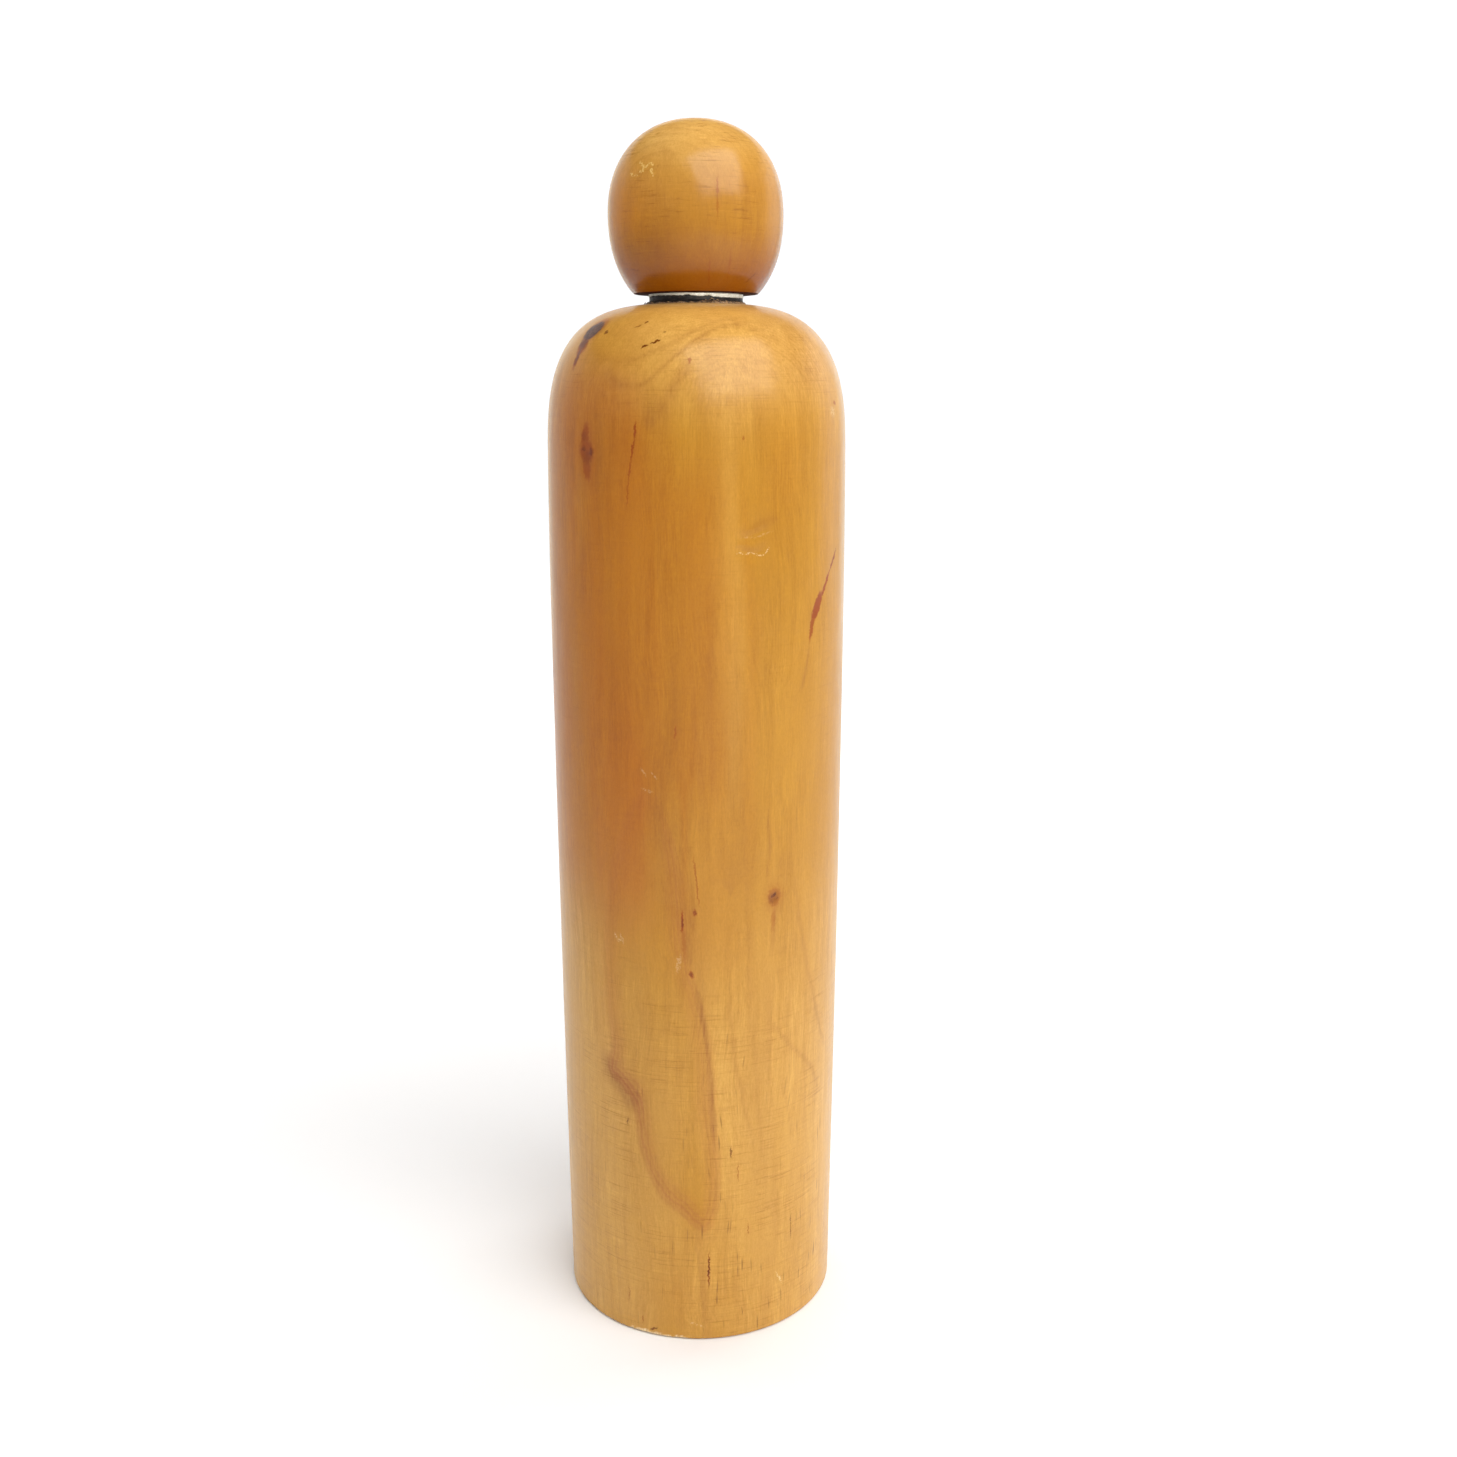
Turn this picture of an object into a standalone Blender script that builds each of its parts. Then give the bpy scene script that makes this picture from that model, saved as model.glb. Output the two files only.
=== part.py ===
"""A turned wooden doll of kokeshi form: a ball head that turns on a solid, domed body.

The body and the head are turned from one light hardwood. The head is glued to a dowel,
the spindle, which turns in the tube of a flanged metal collar pressed into the shoulder.
A black ring sits under the collar's flange. Below the tube a thrust washer, a steel
washer and a wood screw keep the spindle from lifting out.

Everything is turned about the world's Z axis, in metres, with the base at Z = 0.
"""

import math

import bmesh
import bpy
from mathutils import Matrix

MM = 0.001

# ---------------------------------------------------------------- driving dimensions, mm
TOTAL_HEIGHT = 303.0

# body, outside
BASE_RADIUS = 35.7
BASE_EDGE = 0.7  # small rounding round the foot
BELLY_RADIUS = 37.05
BELLY_HEIGHT = 190.0
SIDE_POWER = 1.76  # how late the side runs in towards the foot
SHOULDER_START = 225.8
SHOULDER_DRAW_IN = 0.23  # side's loss of radius between the belly and the shoulder's start
BODY_TOP = 260.9
SHOULDER_POWER_Z = 2.8
SHOULDER_POWER_R = 3.6

# head, outside
HEAD_BOTTOM = 263.1
HEAD_FLAT_RADIUS = 15.1
HEAD_WIDEST = 281.1
HEAD_RADIUS = 21.05
HEAD_POWER = 2.21

# neck
GAP = 0.25  # between pieces that touch
RING_RADIUS = 11.3
SEAT_RADIUS = RING_RADIUS + 0.35
SEAT_FLOOR = 259.9
RING_TOP = 261.95
FLANGE_BOTTOM = RING_TOP + 0.2
FLANGE_TOP = HEAD_BOTTOM - GAP
TUBE_OUTER = 8.3
TUBE_INNER = 6.3
TUBE_END = 241.0

# bores in the wood
SOCKET_RADIUS = TUBE_OUTER + 0.3
SOCKET_FLOOR = 231.5
HEAD_BORE_RADIUS = 6.3
HEAD_BORE_TOP = 287.5
DRILL_HALF_ANGLE = math.radians(59.0)

# spindle and what holds it
SPINDLE_RADIUS = 6.0
SPINDLE_END = 238.9
SPINDLE_TOP = 287.1
PILOT_RADIUS = 2.3
PILOT_TOP = 257.0
FLUTES = 8
FLUTE_DEPTH = 0.35
THRUST_THICKNESS = 1.6
THRUST_OUTER = 8.2
WASHER_THICKNESS = 1.3
WASHER_OUTER = 8.0
SCREW_HEAD_RADIUS = 4.2
SCREW_HEAD_HEIGHT = 2.4
THREAD_ROOT = 1.35
THREAD_CREST = 2.0
THREAD_PITCH = 1.8
SCREW_TIP = 255.5
SLOT_WIDTH = 1.1
SLOT_DEPTH = 1.2


# ---------------------------------------------------------------- materials
def linear(channel):
    c = channel / 255.0
    return c / 12.92 if c <= 0.04045 else ((c + 0.055) / 1.055) ** 2.4


def material(name, rgb, roughness, metallic=0.0, coat=0.0):
    made = bpy.data.materials.new(name)
    made.use_nodes = True
    shader = made.node_tree.nodes["Principled BSDF"]
    shader.inputs["Base Color"].default_value = tuple(linear(c) for c in rgb) + (1.0,)
    shader.inputs["Roughness"].default_value = roughness
    shader.inputs["Metallic"].default_value = metallic
    shader.inputs["Coat Weight"].default_value = coat
    made.diffuse_color = shader.inputs["Base Color"].default_value
    return made


# ---------------------------------------------------------------- turning
def radius_at(radius, angle):
    return radius(angle) if callable(radius) else radius


def turned(name, rows, segments, look, parent=None, ring=False):
    """A solid turned about Z. Rows are (radius, height) in mm, and a radius may be a
    function of the angle. A full solid starts and ends on the axis, with radius 0. A
    ring's last row joins its first."""
    mesh = bpy.data.meshes.new(name)
    work = bmesh.new()
    loops = []
    for radius, height in rows:
        if not callable(radius) and radius == 0:
            loops.append([work.verts.new((0.0, 0.0, height * MM))])
            continue
        loop = []
        for k in range(segments):
            angle = 2 * math.pi * k / segments
            r = radius_at(radius, angle) * MM
            loop.append(work.verts.new((r * math.cos(angle), r * math.sin(angle), height * MM)))
        loops.append(loop)
    pairs = list(zip(loops, loops[1:]))
    if ring:
        pairs.append((loops[-1], loops[0]))
    for low, high in pairs:
        for k in range(segments):
            n = (k + 1) % segments
            if len(low) == 1:
                work.faces.new((low[0], high[n], high[k]))
            elif len(high) == 1:
                work.faces.new((low[k], low[n], high[0]))
            else:
                work.faces.new((low[k], low[n], high[n], high[k]))
    bmesh.ops.recalc_face_normals(work, faces=work.faces)
    work.to_mesh(mesh)
    work.free()
    piece = bpy.data.objects.new(name, mesh)
    bpy.context.scene.collection.objects.link(piece)
    mesh.materials.append(look)
    mesh.shade_smooth()
    mesh.set_sharp_from_angle(angle=math.radians(35))
    if parent is not None:
        # the mesh is in world place, so it is brought back under the parent's axis point
        mesh.transform(parent.matrix_world.inverted())
        piece.parent = parent
    return piece


def body_radius(z):
    """Outer radius of the body: a side that swells to the belly, times a domed shoulder."""
    if z < BELLY_HEIGHT:
        side = BELLY_RADIUS - (BELLY_RADIUS - BASE_RADIUS) * (
            (BELLY_HEIGHT - z) / BELLY_HEIGHT
        ) ** SIDE_POWER
    else:
        side = BELLY_RADIUS - SHOULDER_DRAW_IN * (
            (z - BELLY_HEIGHT) / (SHOULDER_START - BELLY_HEIGHT)
        ) ** 2
    if z <= SHOULDER_START:
        return side
    rise = min((z - SHOULDER_START) / (BODY_TOP - SHOULDER_START), 1.0)
    return side * (1 - rise**SHOULDER_POWER_Z) ** (1 / SHOULDER_POWER_R)


def body_height(r):
    """The height on the shoulder where its radius is r, found by halving."""
    low, high = SHOULDER_START, BODY_TOP
    for _ in range(50):
        middle = (low + high) / 2
        if body_radius(middle) > r:
            low = middle
        else:
            high = middle
    return (low + high) / 2


def head_radius(z):
    """Outer radius of the head: two superellipses that meet at its widest circle."""
    if z >= HEAD_WIDEST:
        rise = min((z - HEAD_WIDEST) / (TOTAL_HEIGHT - HEAD_WIDEST), 1.0)
        return HEAD_RADIUS * (1 - rise**HEAD_POWER) ** (1 / HEAD_POWER)
    reach = (HEAD_WIDEST - HEAD_BOTTOM) / (
        1 - (HEAD_FLAT_RADIUS / HEAD_RADIUS) ** HEAD_POWER
    ) ** (1 / HEAD_POWER)
    return HEAD_RADIUS * (1 - ((HEAD_WIDEST - z) / reach) ** HEAD_POWER) ** (1 / HEAD_POWER)


def drilled(radius, floor, up=True):
    """The end of a drilled hole: its last full circle, then the point on the axis."""
    point = radius / math.tan(DRILL_HALF_ANGLE)
    return [(radius, floor), (0, floor + (point if up else -point))]


def make_body(look):
    rows = [(0, 0.0), (BASE_RADIUS - BASE_EDGE, 0.0)]
    for k in range(1, 4):
        turn = math.radians(30 * k)
        rows.append(
            (
                body_radius(BASE_EDGE) - BASE_EDGE * (1 - math.sin(turn)),
                BASE_EDGE * (1 - math.cos(turn)),
            )
        )
    for k in range(1, 11):
        z = SHOULDER_START * k / 10
        rows.append((body_radius(z), z))
    # the shoulder is stepped by its slope angle, so its steep and its flat part are both round
    rim = body_height(SEAT_RADIUS + 0.25)
    for k in range(1, 15):
        share = math.sin(math.pi / 2 * k / 15) ** 1.15
        z = SHOULDER_START + (rim - SHOULDER_START) * share
        rows.append((body_radius(z), z))
    rows.append((SEAT_RADIUS + 0.25, rim))
    rows.append((SEAT_RADIUS, rim - 0.2))
    rows.append((SEAT_RADIUS, SEAT_FLOOR))
    rows.append((SOCKET_RADIUS + 0.4, SEAT_FLOOR))
    rows.append((SOCKET_RADIUS, SEAT_FLOOR - 0.4))
    rows += drilled(SOCKET_RADIUS, SOCKET_FLOOR, up=False)
    return turned("body", rows, 64, look)


def make_head(look, axis):
    rows = drilled(HEAD_BORE_RADIUS, HEAD_BORE_TOP, up=True)[::-1]
    rows.append((HEAD_BORE_RADIUS, HEAD_BOTTOM + 0.4))
    rows.append((HEAD_BORE_RADIUS + 0.4, HEAD_BOTTOM))
    rows.append((HEAD_FLAT_RADIUS - 0.25, HEAD_BOTTOM))
    rows.append((HEAD_FLAT_RADIUS + 0.05, HEAD_BOTTOM + 0.2))
    for k in range(1, 9):
        z = HEAD_BOTTOM + (HEAD_WIDEST - HEAD_BOTTOM) * math.sin(math.pi / 2 * k / 8)
        rows.append((head_radius(z), z))
    for k in range(1, 12):
        z = HEAD_WIDEST + (TOTAL_HEIGHT - HEAD_WIDEST) * math.sin(math.pi / 2 * k / 12)
        rows.append((head_radius(z), z))
    rows.append((0, TOTAL_HEIGHT))
    return turned("head", rows, 56, look, axis)


def make_ring(look):
    bottom = SEAT_FLOOR + GAP
    inner = TUBE_OUTER + 0.3
    rows = [
        (inner, bottom),
        (RING_RADIUS, bottom),
        (RING_RADIUS, RING_TOP - 0.15),
        (RING_RADIUS - 0.15, RING_TOP),
        (inner, RING_TOP),
    ]
    return turned("neck_ring", rows, 56, look, ring=True)


def make_collar(look):
    rows = [
        (TUBE_OUTER, FLANGE_BOTTOM),
        (RING_RADIUS - 0.15, FLANGE_BOTTOM),
        (RING_RADIUS, FLANGE_BOTTOM + 0.15),
        (RING_RADIUS, FLANGE_TOP - 0.15),
        (RING_RADIUS - 0.15, FLANGE_TOP),
        (TUBE_INNER + 0.3, FLANGE_TOP),
        (TUBE_INNER, FLANGE_TOP - 0.3),
        (TUBE_INNER, TUBE_END),
        (TUBE_OUTER - 0.3, TUBE_END),
        (TUBE_OUTER, TUBE_END + 0.5),
    ]
    return turned("neck_collar", rows, 56, look, ring=True)


def make_spindle(look, axis):
    """A dowel, fluted where it is glued into the head, with a pilot hole in its lower end."""

    def fluted(angle):
        return SPINDLE_RADIUS - FLUTE_DEPTH * (0.5 - 0.5 * math.cos(FLUTES * angle)) ** 2

    rows = drilled(PILOT_RADIUS, PILOT_TOP, up=True)[::-1]
    rows += [
        (PILOT_RADIUS, SPINDLE_END),
        (SPINDLE_RADIUS - 0.4, SPINDLE_END),
        (SPINDLE_RADIUS, SPINDLE_END + 0.4),
        (SPINDLE_RADIUS, HEAD_BOTTOM + 1.5),
        (fluted, HEAD_BOTTOM + 2.5),
        (fluted, SPINDLE_TOP - 1.2),
        (SPINDLE_RADIUS - 1.2, SPINDLE_TOP),
        (0, SPINDLE_TOP),
    ]
    return turned("neck_spindle", rows, 48, look, axis)


def make_washer(name, inner, outer, top, thickness, look, parent=None):
    edge = 0.15
    bottom = top - thickness
    rows = [
        (inner, bottom + edge),
        (inner + edge, bottom),
        (outer - edge, bottom),
        (outer, bottom + edge),
        (outer, top - edge),
        (outer - edge, top),
        (inner + edge, top),
        (inner, top - edge),
    ]
    return turned(name, rows, 40, look, parent, ring=True)


def make_screw(look, axis, seat):
    """A round-headed wood screw, head down, whose helical thread rises into the spindle."""
    start = seat + 3.0
    steps_per_turn = 5

    def thread(z):
        def radius(angle):
            phase = ((z - start) / THREAD_PITCH - angle / (2 * math.pi)) % 1.0
            ridge = max(0.0, 1 - abs(2 * phase - 1) * 1.6)
            taper = max(0.0, min(1.0, (SCREW_TIP - 1.0 - z) / 4.0, (z - start) / 1.0))
            core = THREAD_ROOT * (0.45 + 0.55 * min(1.0, (SCREW_TIP - z) / 4.0))
            return core + (THREAD_CREST - THREAD_ROOT) * ridge * taper

        return radius

    low = seat - SCREW_HEAD_HEIGHT
    rows = [(0, low)]
    for k in range(5):
        turn = math.pi / 2 * k / 4
        rows.append(
            (
                SCREW_HEAD_RADIUS * (0.5 + 0.5 * math.sin(turn)),
                low + (SCREW_HEAD_HEIGHT - 0.5) * (1 - math.cos(turn)),
            )
        )
    rows += [(SCREW_HEAD_RADIUS, seat), (THREAD_ROOT + 0.35, seat), (THREAD_ROOT + 0.35, start - 0.4)]
    steps = int((SCREW_TIP - start) / THREAD_PITCH * steps_per_turn)
    for k in range(steps):
        z = start + k * THREAD_PITCH / steps_per_turn
        rows.append((thread(z), z))
    rows.append((0, SCREW_TIP))
    screw = turned("retaining_screw", rows, 20, look, axis)

    bpy.ops.mesh.primitive_cube_add(size=1.0, location=(0, 0, 0))
    cutter = bpy.context.object
    cutter.name = "screw_slot_cutter"
    cutter.hide_render = True
    cutter.display_type = "WIRE"
    cutter.data.transform(
        Matrix.Diagonal((SLOT_WIDTH * MM, 4 * SCREW_HEAD_RADIUS * MM, 2 * SLOT_DEPTH * MM, 1.0))
    )
    cutter.location = (0, 0, low * MM)
    slot = screw.modifiers.new("driver_slot", "BOOLEAN")
    slot.operation = "DIFFERENCE"
    slot.solver = "EXACT"
    slot.object = cutter
    return screw


def main():
    for old in list(bpy.data.objects):
        bpy.data.objects.remove(old, do_unlink=True)

    head_wood = material("head_wood", (196, 132, 58), 0.32, coat=0.6)
    body_wood = material("body_wood", (204, 143, 64), 0.32, coat=0.6)
    black = material("neck_black", (24, 20, 18), 0.55)
    silver = material("collar_metal", (196, 194, 184), 0.35, metallic=1.0)
    dowel = material("spindle_wood", (190, 160, 112), 0.6)
    nylon = material("washer_nylon", (222, 218, 204), 0.45)
    steel = material("washer_steel", (170, 170, 168), 0.35, metallic=1.0)
    screw_steel = material("screw_steel", (188, 176, 132), 0.3, metallic=1.0)

    # everything that turns with the head hangs from this point on the turning axis
    axis = bpy.data.objects.new("head_turn_axis", None)
    bpy.context.scene.collection.objects.link(axis)
    axis.location = (0, 0, HEAD_BOTTOM * MM)
    bpy.context.view_layer.update()

    make_body(body_wood)
    make_ring(black)
    make_collar(silver)
    make_washer(
        "thrust_washer",
        SPINDLE_RADIUS + 0.3,
        THRUST_OUTER,
        TUBE_END - GAP,
        THRUST_THICKNESS,
        nylon,
    )
    make_head(head_wood, axis)
    make_spindle(dowel, axis)
    washer_top = SPINDLE_END - GAP
    make_washer(
        "retaining_washer",
        PILOT_RADIUS,
        WASHER_OUTER,
        washer_top,
        WASHER_THICKNESS,
        steel,
        axis,
    )
    make_screw(screw_steel, axis, washer_top - WASHER_THICKNESS - GAP)


main()
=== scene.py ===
"""Looks of the turned wooden doll: fine turned surfaces, varnished wood, neck ring and collar."""

import math

import bmesh
import bpy
import numpy as np
from mathutils import Euler, Matrix, Vector


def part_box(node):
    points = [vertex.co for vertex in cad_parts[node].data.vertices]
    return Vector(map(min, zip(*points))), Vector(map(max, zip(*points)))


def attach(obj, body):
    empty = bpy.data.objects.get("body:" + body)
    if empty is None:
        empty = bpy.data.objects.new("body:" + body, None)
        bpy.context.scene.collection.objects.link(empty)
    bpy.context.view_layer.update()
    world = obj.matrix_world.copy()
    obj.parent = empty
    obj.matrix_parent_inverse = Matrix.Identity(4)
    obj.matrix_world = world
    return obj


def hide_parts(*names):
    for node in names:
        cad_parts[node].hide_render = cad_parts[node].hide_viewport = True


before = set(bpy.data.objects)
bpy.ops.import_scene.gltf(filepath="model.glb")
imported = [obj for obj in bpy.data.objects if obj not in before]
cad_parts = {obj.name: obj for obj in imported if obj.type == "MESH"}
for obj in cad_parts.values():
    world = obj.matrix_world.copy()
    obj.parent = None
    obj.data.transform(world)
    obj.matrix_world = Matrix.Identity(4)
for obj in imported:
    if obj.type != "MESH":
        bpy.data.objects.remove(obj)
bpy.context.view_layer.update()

MM = 0.001

# ------------------------------------------------------------------ sizes, mm (from the CAD boxes)
BODY_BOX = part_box("body")
HEAD_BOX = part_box("head")
TOTAL = HEAD_BOX[1][2] / MM
HEAD_BOTTOM = HEAD_BOX[0][2] / MM
HEAD_R = 21.05
HEAD_FLAT = 15.1
HEAD_WIDEST = 281.1
HEAD_POWER = 2.21
BASE_R = 35.7
BELLY_R = 37.05
BELLY_Z = 190.0
SHOULDER_Z = 225.8
BODY_TOP = 260.9
RING_R = 11.3
SEAT_Z = 259.9


# ------------------------------------------------------------------ small numeric helpers
def smooth(a, b, v):
    t = np.clip((v - a) / (b - a), 0.0, 1.0)
    return t * t * (3 - 2 * t)


class Noise3:
    """Smooth value noise on a hashed lattice, the same on every run."""

    def __init__(self, seed):
        rng = np.random.RandomState(seed)
        self.table = rng.rand(4096)
        self.perm = rng.permutation(4096)

    def at(self, x, y, z):
        xi, yi, zi = np.floor(x).astype(int), np.floor(y).astype(int), np.floor(z).astype(int)
        fx, fy, fz = x - xi, y - yi, z - zi
        fx, fy, fz = (f * f * f * (f * (f * 6 - 15) + 10) for f in (fx, fy, fz))
        total = np.zeros(np.shape(x))
        for a in (0, 1):
            wx = fx if a else 1 - fx
            for b in (0, 1):
                wy = fy if b else 1 - fy
                for c in (0, 1):
                    wz = fz if c else 1 - fz
                    h = self.perm[(xi + a) & 4095]
                    h = self.perm[(h + yi + b) & 4095]
                    h = self.perm[(h + zi + c) & 4095]
                    total += wx * wy * wz * self.table[h]
        return total * 2 - 1

    def fbm(self, x, y, z, octaves=3):
        total, weight, size = 0.0, 1.0, 0.0
        for k in range(octaves):
            total = total + weight * self.at(x * 2**k + 17.3 * k, y * 2**k + 5.1 * k, z * 2**k)
            size += weight
            weight *= 0.5
        return total / size


def body_radius(z):
    z = np.asarray(z, float)
    low = BELLY_R - (BELLY_R - BASE_R) * (np.clip(BELLY_Z - z, 0, None) / BELLY_Z) ** 1.76
    high = BELLY_R - 0.23 * ((z - BELLY_Z) / (SHOULDER_Z - BELLY_Z)) ** 2
    side = np.where(z < BELLY_Z, low, high)
    rise = np.clip((z - SHOULDER_Z) / (BODY_TOP - SHOULDER_Z), 0, 1)
    return side * (1 - rise**2.8) ** (1 / 3.6)


def head_radius(z):
    z = np.asarray(z, float)
    reach = (HEAD_WIDEST - HEAD_BOTTOM) / (1 - (HEAD_FLAT / HEAD_R) ** HEAD_POWER) ** (
        1 / HEAD_POWER
    )
    up = np.clip(1 - np.clip((z - HEAD_WIDEST) / (TOTAL - HEAD_WIDEST), 0, 1) ** HEAD_POWER, 0, 1)
    low = np.clip(1 - np.clip((HEAD_WIDEST - z) / reach, 0, 1) ** HEAD_POWER, 0, 1)
    return HEAD_R * np.where(z >= HEAD_WIDEST, up, low) ** (1 / HEAD_POWER)


def on_surface(radius, phi, z):
    """The point in mm at azimuth phi (degrees, 0 at the front, positive to the right)."""
    r = float(radius(z))
    a = math.radians(phi)
    return Vector((r * math.sin(a), -r * math.cos(a), z))


# ------------------------------------------------------------------ turned meshes
def even(points, step):
    """Points along a profile at an even spacing in mm."""
    points = np.array(points, float)
    along = np.r_[0, np.cumsum(np.hypot(*np.diff(points, axis=0).T))]
    count = max(2, int(round(along[-1] / step)) + 1)
    at = np.linspace(0, along[-1], count)
    return np.stack([np.interp(at, along, points[:, 0]), np.interp(at, along, points[:, 1])], 1)


def columns(front_step, back_step, front_half):
    """Azimuths in degrees, closer together on the front half."""
    front = np.arange(-front_half, front_half, front_step)
    rest = 360 - 2 * front_half
    back = front_half + np.arange(0, rest - back_step * 0.5, back_step)
    return np.concatenate([front, back])


class Turned:
    """A mesh turned about Z from a profile, whose vertices can be moved before it is made."""

    def __init__(self, profile, azimuths, closed_ring=False):
        profile = np.array(profile, float)
        self.ring = closed_ring
        self.first_axis = not closed_ring and profile[0, 0] == 0
        self.last_axis = not closed_ring and profile[-1, 0] == 0
        rows = profile[1 if self.first_axis else 0 : -1 if self.last_axis else None]
        self.phi = np.radians(azimuths)[None, :].repeat(len(rows), 0)
        self.r = rows[:, 0][:, None].repeat(len(azimuths), 1)
        self.z = rows[:, 1][:, None].repeat(len(azimuths), 1)
        self.ends = (
            [(0, 0, profile[0, 1])] if self.first_axis else [],
            [(0, 0, profile[-1, 1])] if self.last_axis else [],
        )

    def xyz(self):
        return (
            self.r * np.sin(self.phi),
            -self.r * np.cos(self.phi),
            self.z,
        )

    def make(self, name, attributes=None):
        rows, cols = self.r.shape
        x, y, z = self.xyz()
        grid = np.stack([x, y, z], -1).reshape(-1, 3)
        points = np.concatenate([grid, np.array(self.ends[0] + self.ends[1]).reshape(-1, 3)])
        index = np.arange(rows * cols).reshape(rows, cols)
        nxt = np.roll(index, -1, 1)
        low, high = index[:-1], index[1:]
        low_n, high_n = nxt[:-1], nxt[1:]
        quads = np.stack([low, low_n, high_n, high], -1).reshape(-1, 4)
        if self.ring:
            quads = np.concatenate(
                [quads, np.stack([index[-1], nxt[-1], nxt[0], index[0]], -1).reshape(-1, 4)]
            )
        faces = quads.tolist()
        at = rows * cols
        if self.first_axis:
            faces += [[at, n, k] for k, n in zip(index[0].tolist(), nxt[0].tolist())]
            at += 1
        if self.last_axis:
            faces += [[k, n, at] for k, n in zip(index[-1].tolist(), nxt[-1].tolist())]
        mesh = bpy.data.meshes.new(name)
        mesh.from_pydata((points * MM).tolist(), [], faces)
        for key, values in (attributes or {}).items():
            layer = mesh.attributes.new(key, "FLOAT", "POINT")
            filled = np.zeros(len(points), np.float32)
            filled[: rows * cols] = values.reshape(-1)
            if self.first_axis:
                filled[rows * cols] = values[0].mean()
            if self.last_axis:
                filled[-1] = values[-1].mean()
            layer.data.foreach_set("value", filled)
        mesh.validate()
        mesh.update()
        work = bmesh.new()
        work.from_mesh(mesh)
        bmesh.ops.recalc_face_normals(work, faces=work.faces)
        work.to_mesh(mesh)
        work.free()
        mesh.shade_smooth()
        mesh.set_sharp_from_angle(angle=math.radians(40))
        piece = bpy.data.objects.new(name, mesh)
        bpy.context.scene.collection.objects.link(piece)
        return piece


def polyline_distance(u, z, points, stretch=1.0):
    """Unsigned distance in mm to a polyline in the unrolled surface, and the share along it."""
    best = np.full(np.shape(u), 1e9)
    share = np.zeros(np.shape(u))
    points = np.array(points, float)
    lengths = np.hypot(np.diff(points[:, 0]), np.diff(points[:, 1]))
    total, start = lengths.sum(), 0.0
    for (u0, z0), (u1, z1), length in zip(points, points[1:], lengths):
        du, dz = u1 - u0, (z1 - z0) * stretch
        pu, pz = u - u0, (z - z0) * stretch
        t = np.clip((pu * du + pz * dz) / (du * du + dz * dz + 1e-12), 0, 1)
        d = np.hypot(pu - t * du, pz - t * dz)
        closer = d < best
        best = np.where(closer, d, best)
        share = np.where(closer, (start + t * length) / total, share)
        start += length
    return best, share


def rounded(points, count=6):
    """A smooth curve through the points (Catmull-Rom)."""
    p = np.array(points, float)
    p = np.vstack([2 * p[0] - p[1], p, 2 * p[-1] - p[-2]])
    out = []
    for k in range(1, len(p) - 2):
        a, b, c, d = p[k - 1 : k + 3]
        for t in np.linspace(0, 1, count, endpoint=False):
            out.append(
                0.5
                * (
                    2 * b
                    + (c - a) * t
                    + (2 * a - 5 * b + 4 * c - d) * t * t
                    + (3 * b - a - 3 * c + d) * t**3
                )
            )
    out.append(p[-2])
    return np.array(out)


def inside(u, z, points):
    """True inside a closed outline in the unrolled surface."""
    points = np.array(points, float)
    found = np.zeros(np.shape(u), bool)
    for (u0, z0), (u1, z1) in zip(points, np.roll(points, -1, 0)):
        cross = (z0 > z) != (z1 > z)
        with np.errstate(divide="ignore", invalid="ignore"):
            at = u0 + (z - z0) / (z1 - z0 + 1e-12) * (u1 - u0)
        found ^= cross & (u < at)
    return found


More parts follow.
